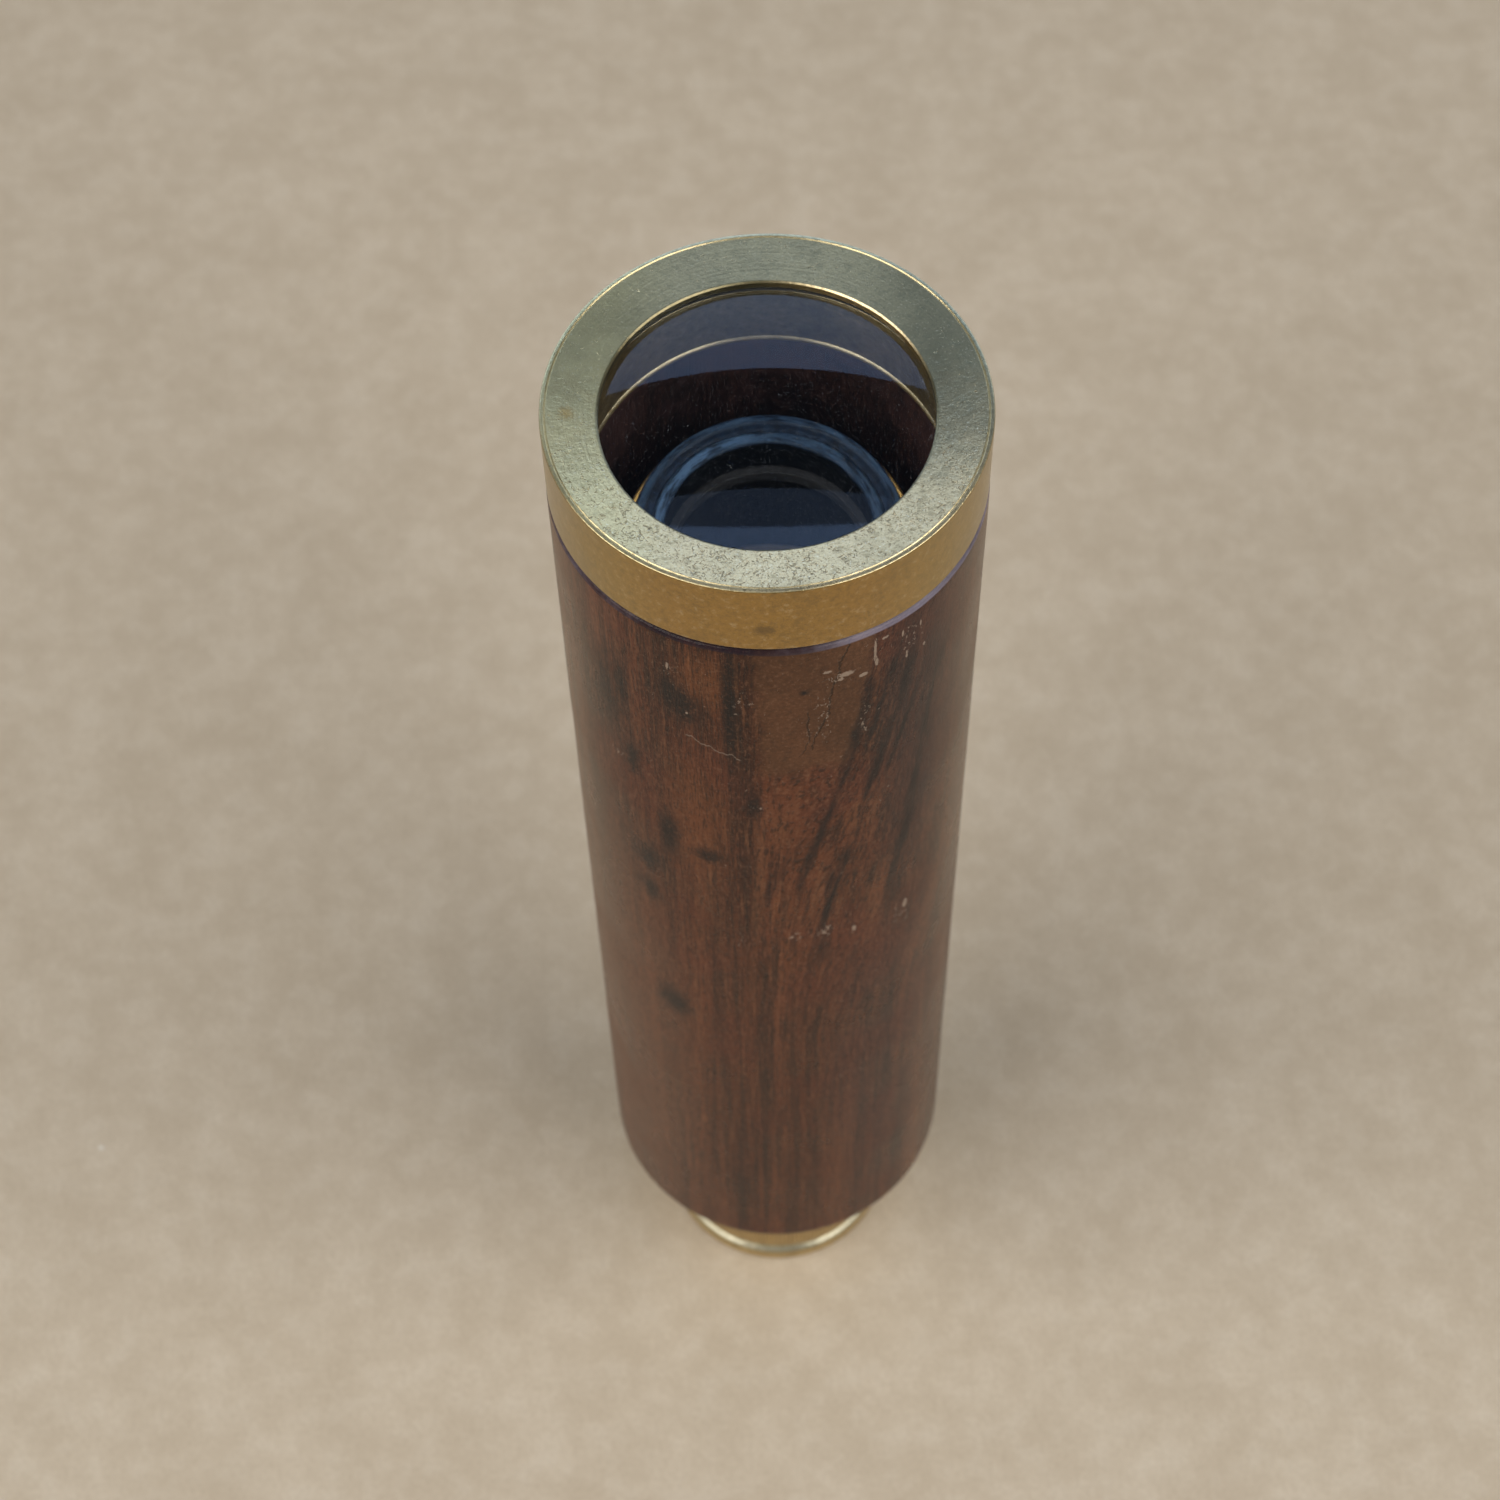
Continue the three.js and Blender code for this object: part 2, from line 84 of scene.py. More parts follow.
FIT = 0.06  # the gap between pieces fitted together
RUN = 0.15  # the gap between pieces that run in each other
WOOD_BORE = 17.6
CAP_HOLE = 16.55
CAP_DISH = 0.95
CAP_FLANGE = 1.78
LENS_POCKET = 18.75
LENS_SEAT_HOLE = 17.2
THREAD_BORE = 20.75
THREAD_PITCH = 0.5
THREAD_CREST = 20.5
LENS_CURVE = 80
LENS_HOLLOW = 600
LENS_APEX = 0.12  # below the top face
FERRULE_BORE = 17.4
FERRULE_SPIGOT = 18.9
TUBE_BORE = TUBE_RADIUS - 0.6
STOP_RADIUS = 12.6
STOP_HOLE = 9.55
STOP_LIP = 10.75
INNER_STOP_HOLE = 8.9
MIRROR_RING_HOLE = 7
PEEPHOLE = 3
BUSH_BORE = 14.5
BUSH_FLANGE = 21
BUSH_SEAT = BUSH_HIGH - 7  # where the felt sleeve stands
SCREW_CIRCLE = 19.35
SCREW_SHANK = 0.75
SCREW_HEAD = 1.35
SCREW_SINK = 0.9  # depth of the countersunk head
GUIDE_COLLAR_RADIUS = 15.1
NECK_RADIUS = 14.4
EYE_THREAD_BORE = 14.15
KNURL_RADIUS = 15.2
KNURL_LOW = 4.7
KNURL_HIGH = 10.4
KNURL_TEETH = 160


# ---- turned meshes

def rounded(corners, steps=4):
    """An outline of (radius, height) points from corners (radius, height, fillet): a fillet above 0 becomes
    an arc of that radius, as far as the neighbouring edges leave room."""
    points = []
    count = len(corners)
    for i, corner in enumerate(corners):
        here = Vector(corner[:2])
        fillet = corner[2] if len(corner) > 2 else 0
        before = Vector(corners[i - 1][:2]) - here
        after = Vector(corners[(i + 1) % count][:2]) - here
        if fillet <= 0 or before.length == 0 or after.length == 0:
            points.append(tuple(here))
            continue
        half = before.angle(after) / 2
        reach = min(fillet / tan(half), before.length * 0.45, after.length * 0.45)
        start = here + before.normalized() * reach
        end = here + after.normalized() * reach
        for step in range(steps + 1):
            t = step / steps
            points.append(tuple(start * (1 - t) ** 2 + here * 2 * t * (1 - t) + end * t ** 2))
    return points


def divided(points, longest):
    """The closed outline with extra points, so that no stretch is longer than the given length."""
    result = []
    for a, b in zip(points, points[1:] + points[:1]):
        pieces = max(1, ceil(dist(a, b) / longest))
        for k in range(pieces):
            t = k / pieces
            result.append((a[0] + (b[0] - a[0]) * t, a[1] + (b[1] - a[1]) * t))
    return result


def lathe(name, outline, segments=FINE, shape=None):
    """A closed turned mesh from an outline in millimetres, anticlockwise in the radius-height plane. Points
    on the axis become poles. shape(radius, height, angle) may move each point."""
    vertices = []
    rows = []
    for radius, height in outline:
        if radius < 1e-6:
            rows.append([len(vertices)] * segments)
            vertices.append((0, 0, height * MM))
            continue
        rows.append(list(range(len(vertices), len(vertices) + segments)))
        for k in range(segments):
            angle = 2 * pi * k / segments
            r, z = shape(radius, height, angle) if shape else (radius, height)
            vertices.append((r * cos(angle) * MM, r * sin(angle) * MM, z * MM))
    faces = []
    on_axis = outline[0][0] < 1e-6
    for i in range(len(rows) - (1 if on_axis else 0)):
        low, high = rows[i], rows[(i + 1) % len(rows)]
        for k in range(segments):
            j = (k + 1) % segments
            corners = [low[k], low[j], high[j], high[k]]
            faces.append([v for n, v in enumerate(corners) if v != corners[n - 1]])
    piece = mesh_object(name, vertices, faces)
    shade(piece)
    return piece


def new_object(name, data):
    thing = bpy.data.objects.new(name, data)
    bpy.context.scene.collection.objects.link(thing)
    return thing


def mesh_object(name, vertices, faces):
    mesh = bpy.data.meshes.new(name)
    mesh.from_pydata(vertices, [], faces)
    mesh.validate()
    return new_object(name, mesh)


def shade(piece):
    """Smooth shading that keeps real edges crisp."""
    piece.data.shade_smooth()
    piece.data.set_sharp_from_angle(angle=radians(SHARP))
    weighted = piece.modifiers.new("even_shading", "WEIGHTED_NORMAL")
    weighted.keep_sharp = True


def finish_piece(piece, material, body, node):
    piece.data.materials.clear()
    piece.data.materials.append(material)
    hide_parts(node)
    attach(piece, body)


def turned(node, finish, outline, material, body, segments=FINE, shape=None):
    """The lathed piece that stands in for a node. finish ends its name."""
    piece = lathe(f"{node}_{finish}", outline, segments, shape)
    finish_piece(piece, material, body, node)


def ring_outline(outer, inner, low, high, fillet=0.15):
    return rounded([(outer, low, fillet), (outer, high, fillet), (inner, high, fillet), (inner, low, fillet)])


def around(angle, radius, height):
    """A place to read noise at, on a circle, so that the noise closes up all the way round."""
    return Vector((cos(angle) * radius, sin(angle) * radius, height))


# ---- shader building

def arithmetic(operation, swapped=False):
    def method(value, other):
        sides = (other, value) if swapped else (value, other)
        return value.graph.math(operation, *sides)
    return method


class Value:
    """A number that a node gives. Calculating with it adds further nodes."""

    def __init__(self, graph, socket):
        self.graph = graph
        self.socket = socket

    __add__ = arithmetic("ADD")
    __sub__ = arithmetic("SUBTRACT")
    __rsub__ = arithmetic("SUBTRACT", swapped=True)
    __mul__ = arithmetic("MULTIPLY")
    __truediv__ = arithmetic("DIVIDE")

    def __abs__(self):
        return self.graph.math("ABSOLUTE", self)


class Graph:
    """A material's node tree, with short calls for the nodes this script uses."""

    def __init__(self, name):
        self.material = bpy.data.materials.new(name)
        self.material.use_nodes = True
        self.tree = self.material.node_tree
        self.tree.nodes.clear()
        self.output = self.tree.nodes.new("ShaderNodeOutputMaterial")
        # Where a point lies in the part's frame, in metres.
        self.vector = self.add("TexCoord").outputs["Object"]
        self.x, self.y, self.z = self.parts(self.vector)

    def feed(self, socket, value):
        if isinstance(value, Value):
            value = value.socket
        if isinstance(value, bpy.types.NodeSocket):
            self.tree.links.new(value, socket)
        elif isinstance(value, (tuple, list)) and socket.type == "RGBA":
            socket.default_value = (*value[:3], 1)
        else:
            socket.default_value = value

    def add(self, kind, inputs=None, **settings):
        node = self.tree.nodes.new("ShaderNode" + kind)
        for key, value in settings.items():
            setattr(node, key, value)
        for key, value in (inputs or {}).items():
            self.feed(node.inputs[key], value)
        return node

    def value(self, kind, inputs, output=0, **settings):
        return Value(self, self.add(kind, inputs, **settings).outputs[output])

    def math(self, operation, first, second=0, clamp=False):
        return self.value("Math", {0: first, 1: second}, operation=operation, use_clamp=clamp)

    def larger(self, first, second):
        return self.math("MAXIMUM", first, second)

    def mix(self, factor, first, second):
        return self.add("Mix", {0: factor, 6: first, 7: second}, data_type="RGBA").outputs[2]

    def blend_values(self, factor, first, second):
        return self.value("Mix", {0: factor, 2: first, 3: second}, data_type="FLOAT")

    def smooth(self, value, low, high):
        """0 below low, 1 above high, and smooth between them. low may be above high."""
        inputs = {"Value": value, "From Min": low, "From Max": high}
        return self.value("MapRange", inputs, interpolation_type="SMOOTHSTEP")

    def window(self, value, low, high, edge):
        """1 between low and high, fading to 0 over edge on either side."""
        return self.smooth(value, low - edge, low + edge) * self.smooth(value, high + edge, high - edge)

    def combine(self, x, y, z):
        return self.add("CombineXYZ", {0: x, 1: y, 2: z}).outputs[0]

    def noise(self, vector=None, scale=1, detail=3, roughness=0.55, distortion=0):
        inputs = {"Vector": vector or self.vector, "Scale": scale, "Detail": detail,
                  "Roughness": roughness, "Distortion": distortion}
        return self.value("TexNoise", inputs)

    def cells(self, scale):
        """The distance to the middle of the nearest of many cells, and a random number for each cell."""
        found = self.add("TexVoronoi", {"Vector": self.vector, "Scale": scale}).outputs
        return Value(self, found["Distance"]), self.value("SeparateColor", {0: found["Color"]})

    def ramp(self, value, *stops):
        node = self.add("ValToRGB", {0: value})
        elements = node.color_ramp.elements
        while len(elements) < len(stops):
            elements.new(0.5)
        for element, (place, color) in zip(elements, stops):
            element.position = place
            element.color = (*color, 1)
        return node.outputs[0]

    def parts(self, vector):
        return [Value(self, part) for part in self.add("SeparateXYZ", {0: vector}).outputs]

    def upward(self):
        """1 where the surface looks up, 0 where it is upright, -1 where it looks down."""
        return self.parts(self.add("NewGeometry").outputs["Normal"])[2]

    def radius(self, x, y):
        return self.math("SQRT", x * x + y * y)

    def bump(self, height, distance, strength=1, below=None):
        inputs = {"Height": height, "Distance": distance, "Strength": strength}
        if below is not None:
            inputs["Normal"] = below
        return self.add("Bump", inputs).outputs[0]

    def shader(self, kind, inputs):
        return self.add(kind, inputs).outputs[0]

    def principled(self, **inputs):
        named = {key.replace("_", " "): value for key, value in inputs.items()}
        return self.shader("BsdfPrincipled", named)

    def surface(self, shader):
        self.tree.links.new(shader, self.output.inputs["Surface"])
        return self.material

    def finish(self, **inputs):
        """The material, with one Principled shader that has these inputs."""
        return self.surface(self.principled(**inputs))


# ---- materials

# Marks on the front of the wood, in millimetres. Ovals: x, z, half width, half height.
DARK_KNOTS = [
    (-8.7, 156.6, 1.4, 3.2), (-10.3, 157.8, 0.9, 3.8), (-14.6, 141.6, 0.9, 3.4), (-17, 151, 1.1, 8),
    (-15.2, 154.3, 0.8, 5), (-4.2, 158.5, 0.9, 10.5), (-2, 139.8, 0.9, 2.6), (-11.2, 129.5, 1.1, 4.5),
    (-13.8, 121.6, 1.6, 2.6), (-6.9, 127.7, 1.5, 1.5), (-13.8, 114.5, 1.1, 2.2), (-11.9, 89.2, 2, 3),
    (3.3, 161, 0.5, 0.5),
]
# Leaning lines: x and z at the upper end, x and z at the lower end, half width.
DARK_STREAKS = [
    (14.3, 161, 7.4, 124, 0.5), (14.9, 154.5, 11.8, 140, 0.24), (10.6, 162, 6.4, 139, 0.5),
    (12.6, 163, 9.6, 147, 0.26), (9.4, 134, 5, 112, 0.34), (7.2, 142, 2.6, 122, 0.42),
    (1.5, 129, -2.4, 116, 0.7), (6, 126, 5.6, 98, 0.5), (16.5, 148, 13, 112, 0.7),
    (17.6, 158, 15.4, 141, 0.35),
]
CRACKS = [
    (7.7, 168.3, 6.6, 163.6, 0.09), (6.6, 163.6, 5.8, 159.3, 0.1), (5.8, 159.3, 5.6, 156, 0.08),
    (5.6, 156, 4.7, 153.3, 0.09), (4.7, 153.3, 3.9, 150.2, 0.07), (3.7, 157.4, 3.8, 152, 0.08),
    (3.8, 152, 2.9, 149.3, 0.06),
]
# Whole flakes of broken varnish, as ovals.
FLAKES = [
    (7.5, 162.7, 0.75, 0.38), (6.9, 162, 0.3, 0.25), (10.25, 164.9, 0.13, 1.6), (10.45, 162.8, 0.17, 0.6),
    (11.2, 166.4, 0.34, 0.22), (13, 165.4, 0.1, 0.5), (14.8, 165.2, 0.09, 0.5), (13.5, 161.2, 0.1, 0.6),
    (15.3, 160.8, 0.1, 0.3), (9.1, 161.5, 0.42, 0.3), (5.6, 163.9, 0.45, 0.22), (-10.2, 162.9, 0.15, 0.6),
    (-8.5, 155.4, 0.14, 0.2), (14.9, 108.5, 0.22, 0.9), (9, 109.6, 0.22, 0.6),
]
# Places where crumbs lie: x, z, half width, half height, how many.
CRUMBS = [
    (6.6, 162.2, 2, 1.3, 0.12), (10.4, 164.6, 0.5, 3, 0.12), (13.8, 163.6, 1.6, 3.4, 0.09),
    (5.2, 156, 0.8, 5.5, 0.12), (9.4, 153.6, 0.6, 3.6, 0.14), (-9.6, 162, 1.3, 2.4, 0.09),
    (2.4, 110.8, 1.1, 1.3, 0.15), (5.4, 111, 1.5, 1.6, 0.16), (9, 109.3, 0.7, 1.6, 0.13),
    (-3.6, 110, 0.5, 3, 0.13), (14.5, 107, 1.4, 3.2, 0.12), (-1.9, 139.3, 1.2, 0.6, 0.11),
    (-3.2, 159.5, 1.6, 2.2, 0.1), (-16, 140, 1, 0.8, 0.12), (3.6, 152.5, 0.6, 4, 0.08),
]


class WoodPlaces:
    """Distances and masks on the wood's front, for placing marks. Lengths go in as millimetres."""

    def __init__(self, graph):
        self.g = graph
        self.x = graph.x / MM
        self.y = graph.y / MM
        self.z = graph.z / MM
        self.radius = graph.radius(graph.x, graph.y) / MM
        geometry = graph.add("NewGeometry").outputs
        sides = {0: geometry["Normal"], 1: geometry["Incoming"]}
        cosine = graph.value("VectorMath", sides, "Value", operation="DOT_PRODUCT")
        toward = graph.parts(geometry["Incoming"])
        level = graph.larger(graph.radius(toward[0], toward[1]), 0.05)
        # How squarely an upright face looks at the viewer, as seen on a plan.
        self.facing_viewer = abs(cosine) / level
        outside = graph.smooth(self.radius, 20, 20.6)
        self.front = graph.smooth(self.y, 0, -4) * outside

    def oval(self, x, z, half_width, half_height):
        """0 in the middle of an oval, 1 on its edge, and more outside."""
        return self.g.radius((self.x - x) / half_width, (self.z - z) / half_height)

    def strongest(self, masks):
        total = masks[0]
        for mask in masks[1:]:
            total = self.g.larger(total, mask)
        return total * self.front

    def grain(self, across, width, length, **options):
        """Noise drawn out along the barrel: width and length are the streaks' size in millimetres."""
        vector = self.g.combine(across / width, self.y / width, self.z / length)
        return self.g.noise(vector, **options)


def wood_lines(g, at, wobble, lines, fade):
    """Ragged lines on the front, which fade out over the given length at their ends."""
    masks = []
    for x_high, z_high, x_low, z_low, half_width in lines:
        slope = (x_high - x_low) / (z_high - z_low)
        middle = (at.z - z_low) * slope + x_low
        off = abs(at.x - middle + wobble)
        across = g.smooth(off, half_width * 1.9, half_width * 0.3)
        masks.append(across * g.window(at.z, z_low, z_high, fade))
    return at.strongest(masks)


def wood_patch(g, at, ragged):
    """A filled patch under the cap, narrower towards its lower end."""
    x = at.x + ragged * 3
    z = at.z + ragged * 5
    left = (z - 160) * -0.05 - 1.6
    right = (z - 160) * 0.11 + 9.5
    inside = g.smooth(x - left, -0.9, 0.9) * g.smooth(right - x, -0.5, 0.5)
    return inside * g.smooth(z, 145.2, 147.6) * at.front


def wood_flakes(g, at):
    """Pale broken bits of varnish: whole flakes, and crumbs round them."""
    vector = g.combine(at.x / 0.36, at.y / 0.36, at.z / 0.62)
    torn = g.noise(vector, detail=4, roughness=0.62, distortion=0.9)
    ragged = (torn - 0.5) * 2.2
    whole = at.strongest([g.smooth(at.oval(*flake) + ragged, 1.15, 0.85) for flake in FLAKES])
    where = at.strongest([g.smooth(at.oval(*oval), 1.5, 0.3) * amount for *oval, amount in CRUMBS])
    crumbs = g.smooth(torn + where, 0.695, 0.725)
    return g.larger(whole, crumbs)


def wood_scratch(g, at):
    """One hair-thin scratch that wanders down to the right."""
    wave = g.noise(g.combine(at.x / 1.7, 0, 0))
    line = (at.x + 8.7) * -0.5 + 151.3
    off = at.z - line - (wave - 0.5) * 3
    thin = g.smooth(abs(off), 0.12, 0.04)
    return thin * g.window(at.x, -8.7, -3.2, 0.2) * at.front


def wood_grain(g, at):
    """The bare grain's colour, its middle layer, its open pores and a slow cloudiness. The layers lean on
    the right and run straight elsewhere."""
    right_side = g.smooth(at.x, -4, 13)
    above = g.larger(at.z - 85, 0)
    across = at.x - right_side * above * 0.18
    broad = at.grain(across, 3.4, 120, roughness=0.5)
    middle = at.grain(across, 1, 50, detail=4, roughness=0.6)
    thread = at.grain(across, 0.3, 9, roughness=0.6)
    pores = at.grain(across, 0.15, 1.5, detail=2)
    clouds = g.noise(scale=70, roughness=0.5)

    color = g.ramp(broad, (0.34, (0.05, 0.016, 0.009)), (0.47, (0.09, 0.027, 0.013)),
                   (0.56, (0.13, 0.04, 0.018)), (0.7, (0.176, 0.058, 0.025)))
    dark, light = (0.013, 0.008, 0.008), (0.26, 0.115, 0.055)
    color = g.mix(g.smooth(middle, 0.52, 0.36) * 0.66, color, dark)
    color = g.mix(g.smooth(middle, 0.56, 0.72) * 0.3, color, light)
    color = g.mix(g.smooth(thread, 0.54, 0.36) * 0.55, color, dark)
    color = g.mix(g.smooth(thread, 0.56, 0.72) * 0.4, color, light)
    color = g.mix(g.smooth(clouds, 0.46, 0.66) * 0.36, color, (0.14, 0.04, 0.026))
    return color, middle, pores, clouds


def rosewood():
    """Dark varnished rosewood: long streaks, knots, a filled patch under the cap, open pores, and pale
    flakes and cracks in the varnish."""
    g = Graph("rosewood")
    at = WoodPlaces(g)
    ragged = g.noise(scale=420, detail=4, roughness=0.65) - 0.5
    speckle = g.noise(scale=2300, roughness=0.65)
    color, middle, pores, clouds = wood_grain(g, at)

    warm = g.smooth(at.oval(-8.5, 134, 4, 15), 1.3, 0.2)
    warm = g.larger(warm, g.smooth(at.oval(-6.5, 162, 3, 5), 1.4, 0.3))
    color = g.mix(warm * at.front * 0.45, color, (0.205, 0.074, 0.027))

    # The lower right is mixed towards a cold grey, and the lower left is made paler and warmer.
    grey_lower_right = g.smooth(at.oval(13.5, 72, 9, 42), 1.2, 0.3) * g.smooth(clouds, 0.2, 0.6)
    color = g.mix(grey_lower_right * at.front * 0.26, color, (0.075, 0.058, 0.062))
    paler_tone = g.smooth(at.oval(-17, 72, 7, 55), 1.3, 0.4) * at.front
    color = g.mix(paler_tone * 0.5, color, (0.215, 0.098, 0.056))

    patch = wood_patch(g, at, ragged)
    filler = g.mix(g.smooth(clouds, 0.35, 0.65), (0.098, 0.042, 0.02), (0.128, 0.056, 0.027))
    color = g.mix(patch * 0.9, color, filler)

    bare = 1 - patch * 0.75
    pore = g.smooth(pores, 0.53, 0.66) * bare
    color = g.mix(pore * 0.6, color, (0.01, 0.008, 0.008))
    fleck = g.smooth(pores, 0.44, 0.3) * bare
    color = g.mix(fleck * 0.35, color, (0.27, 0.13, 0.075))
    color = g.mix(g.smooth(speckle, 0.5, 0.68) * 0.35, color, (0.03, 0.016, 0.012))
    color = g.mix(g.smooth(speckle, 0.47, 0.32) * 0.22, color, (0.3, 0.17, 0.11))

    gloom = g.smooth(at.oval(15.5, 150, 5.5, 34), 1.3, 0.3) * at.front
    color = g.mix(gloom * 0.5, color, (0.036, 0.022, 0.026))
    knots = at.strongest([g.smooth(at.oval(*knot) + ragged * 1.5, 1.65, 0.15) for knot in DARK_KNOTS])
    knots = knots * g.smooth(speckle, 0.1, 0.55)
    color = g.mix(knots * 0.9, color, (0.008, 0.008, 0.01))
    streaks = wood_lines(g, at, ragged * 1.1, DARK_STREAKS, 4) * g.smooth(middle, 0.72, 0.42)
    color = g.mix(streaks * 0.85, color, (0.012, 0.009, 0.011))
    cracks = wood_lines(g, at, ragged * 1.6, CRACKS, 0.3)
    color = g.mix(cracks * 0.7, color, (0.012, 0.008, 0.006))

    broken = g.larger(wood_flakes(g, at), wood_scratch(g, at) * 0.7)
    color = g.mix(broken * 0.75, color, (0.42, 0.33, 0.27))

    # Painted shade: the bore inside the barrel is darkened almost to black, deeper in places.
    bore = g.smooth(at.radius, 19.6, 19)
    bore_shade = g.mix(g.smooth(clouds + ragged, 0.42, 0.66), (0.006, 0.003, 0.003), (0.024, 0.012, 0.011))
    color = g.mix(bore * 0.85, color, bore_shade)
    # Painted reflection: the shoulder's bevel is painted violet, with a painted lilac highlight that grows
    # towards the right.
    shoulder = g.smooth(at.z, 167.75, 168) * g.smooth(at.radius, 20.5, 21.2)
    lit = g.smooth(at.x, -3, 9) + (clouds - 0.5) * 2.2 + ragged * 1.2
    painted_bevel_gleam = g.mix(g.smooth(lit, 0, 1.5), (0.022, 0.018, 0.03), (0.31, 0.29, 0.39))
    color = g.mix(shoulder * 0.72, color, painted_bevel_gleam)

    # A pale sheen is painted on towards the barrel's outline, weaker low down: a painted reflection where the
    # surface turns away from the viewer.
    edge_sheen = g.smooth(1 - at.facing_viewer, 0.27, 0.83) * (1 - bore)
    edge_sheen = edge_sheen * g.blend_values(g.smooth(at.z, 40, 130), 0.35, 1)
    color = g.mix(edge_sheen * 0.34, color, (0.37, 0.285, 0.205))

    relief = g.bump(middle * 0.3 - pore * 0.7 + broken * 1.2 - cracks, 0.00005, 0.6)
    fine_relief = g.bump(speckle, 0.00003, 0.45, below=relief)
    rough = g.blend_values(g.smooth(clouds, 0.35, 0.7), 0.26, 0.36)
    rough = g.blend_values(shoulder, rough, 0.16)
    rough = g.blend_values(bore, rough, 0.8)
    return g.finish(Base_Color=color, Roughness=rough, Normal=fine_relief, Specular_IOR_Level=0.17)


def brass(name, face, band, polish, lacquer=0, wear_and_painted_light=None):
    """Turned brass with mottled patina. A hazy skin and clear polished spots lie side by side: polish is the
    share of the polished ones. face is the colour of surfaces that look up or down, band that of upright
    ones: these two tones of the one brass are painted light and shade, set by the way a surface faces.
    lacquer is the strength of a clear coat. wear_and_painted_light changes the colour and the height of the
    relief, with real marks and painted light."""
    g = Graph(name)
    up = abs(g.upward())
    # Painted light and shade: surfaces that look up or down get the face tone, upright ones the band tone.
    color = g.mix(g.smooth(up, 0.75, 0.35), face, band)

    patina = g.noise(scale=130, detail=4, roughness=0.6)
    mottle = g.noise(scale=1250, detail=4, roughness=0.68)
    grain = g.noise(scale=4200, roughness=0.7)
    brown, pale = g.mix(0.62, color, (0.16, 0.115, 0.05)), g.mix(0.5, color, (0.95, 0.88, 0.68))
    color = g.mix(g.smooth(patina, 0.48, 0.7) * 0.3, color, brown)
    color = g.mix(g.smooth(mottle, 0.5, 0.66) * 0.6, color, brown)
    color = g.mix(g.smooth(mottle, 0.47, 0.3) * 0.42, color, pale)
    color = g.mix(g.smooth(grain, 0.5, 0.66) * 0.6, color, brown)

    turning = g.noise(g.combine(g.radius(g.x, g.y) * 5000, g.z * 5000, 0), detail=2)
    height = turning * 0.35 + mottle + grain * 0.6
    if wear_and_painted_light:
        color, height = wear_and_painted_light(g, up, color, height)

    relief = g.bump(height, 0.00004, 0.85)
    shared = {"Base_Color": color, "Metallic": 1, "Normal": relief,
              "Coat_Weight": lacquer, "Coat_Roughness": 0.3}
    hazy = g.principled(Roughness=0.52, **shared)
    clear = g.principled(Roughness=(mottle - 0.5) * 0.25 + 0.17, **shared)
    share = g.math("ADD", (patina - 0.5) * 0.6, polish, clamp=True)
    return g.surface(g.shader("MixShader", {0: share, 1: hazy, 2: clear}))


def cap_marks_and_painted_light(g, up, color, height):
    """Painted reflections: the face's back greener and darker, its right darker and the band's sides paler;
    painted shade on the edge of the hole, except at the back right; brown squiggly pits towards the front,
    one dark smudge low on the band, and a painted highlight on the outer edge."""
    x, y, z = (value / MM for value in (g.x, g.y, g.z))
    radius = g.radius(x, y)
    face = g.smooth(up, 0.75, 0.92)
    uneven = (g.noise(scale=350, detail=4) - 0.5) * 14
    rough_y = y + uneven

    # Painted reflection: the back of the face is made greener and darker.
    back = g.smooth(rough_y, -6, 9) * face
    color = g.mix(back * 0.42, color, (0.56, 0.68, 0.56))
    # Painted reflection: the right of the face, towards the back, is darkened.
    right = g.smooth(x, 7, 16) * g.smooth(rough_y, -12, -3)
    color = g.mix(right * face * 0.42, color, (0.23, 0.26, 0.2))
    left = g.smooth(x, -8, -17) * face
    color = g.mix(left * 0.38, color, (1, 0.92, 0.48))
    # Painted reflection: the band's sides are made paler and yellower.
    sides = g.smooth(abs(x), 8, 20) * g.smooth(up, 0.35, 0.1)
    color = g.mix(sides * 0.3, color, (0.5, 0.42, 0.108))

    marks = g.noise(scale=1700, roughness=0.6, distortion=1.9)
    groups = g.noise(scale=210, detail=2)
    front = g.smooth(y, 4, -14)
    level = marks + front * groups * 0.17
    pits = g.smooth(level, 0.66, 0.715) * face
    color = g.mix(pits * 0.6, color, (0.17, 0.125, 0.06))
    height = height - pits * 2.2
    flecks = g.noise(scale=4500, detail=2, roughness=0.6)
    pale = g.smooth(flecks, 0.62, 0.7) * face
    color = g.mix(pale * 0.55, color, (1, 0.97, 0.8))
    stain = g.radius(x + 19.6, y + 0.2)
    stain = g.smooth(stain + flecks * 1.6, 1.9, 0.9) * face
    color = g.mix(stain * 0.6, color, (0.8, 0.52, 0.16))

    # Painted shade on the hole's edge, left off at the back right where the edge catches the light.
    hole_edge = g.smooth(radius, CAP_HOLE + 0.36, CAP_HOLE + 0.14)
    bright_arc = g.smooth(x, -2, 8) * g.smooth(y, 2, 9)
    hole_edge_shade = hole_edge * (0.8 - bright_arc * 0.8)
    color = g.mix(hole_edge_shade, color, (0.14, 0.13, 0.06))

    smudge = g.radius((x + 0.6) / 1.2, (z - 172.2) / 0.9)
    smudge = g.smooth(smudge + (marks - 0.5), 1.3, 0.2) * g.smooth(y, 0, -4)
    color = g.mix(smudge * 0.5, color, (0.06, 0.04, 0.02))

    # Painted highlight: the rim's outer bevel is made paler.
    paler_tone = g.window(up, 0.45, 0.9, 0.12) * g.smooth(radius, 21, 21.6)
    color = g.mix(paler_tone * 0.4, color, (0.8, 0.7, 0.38))
    return color, height


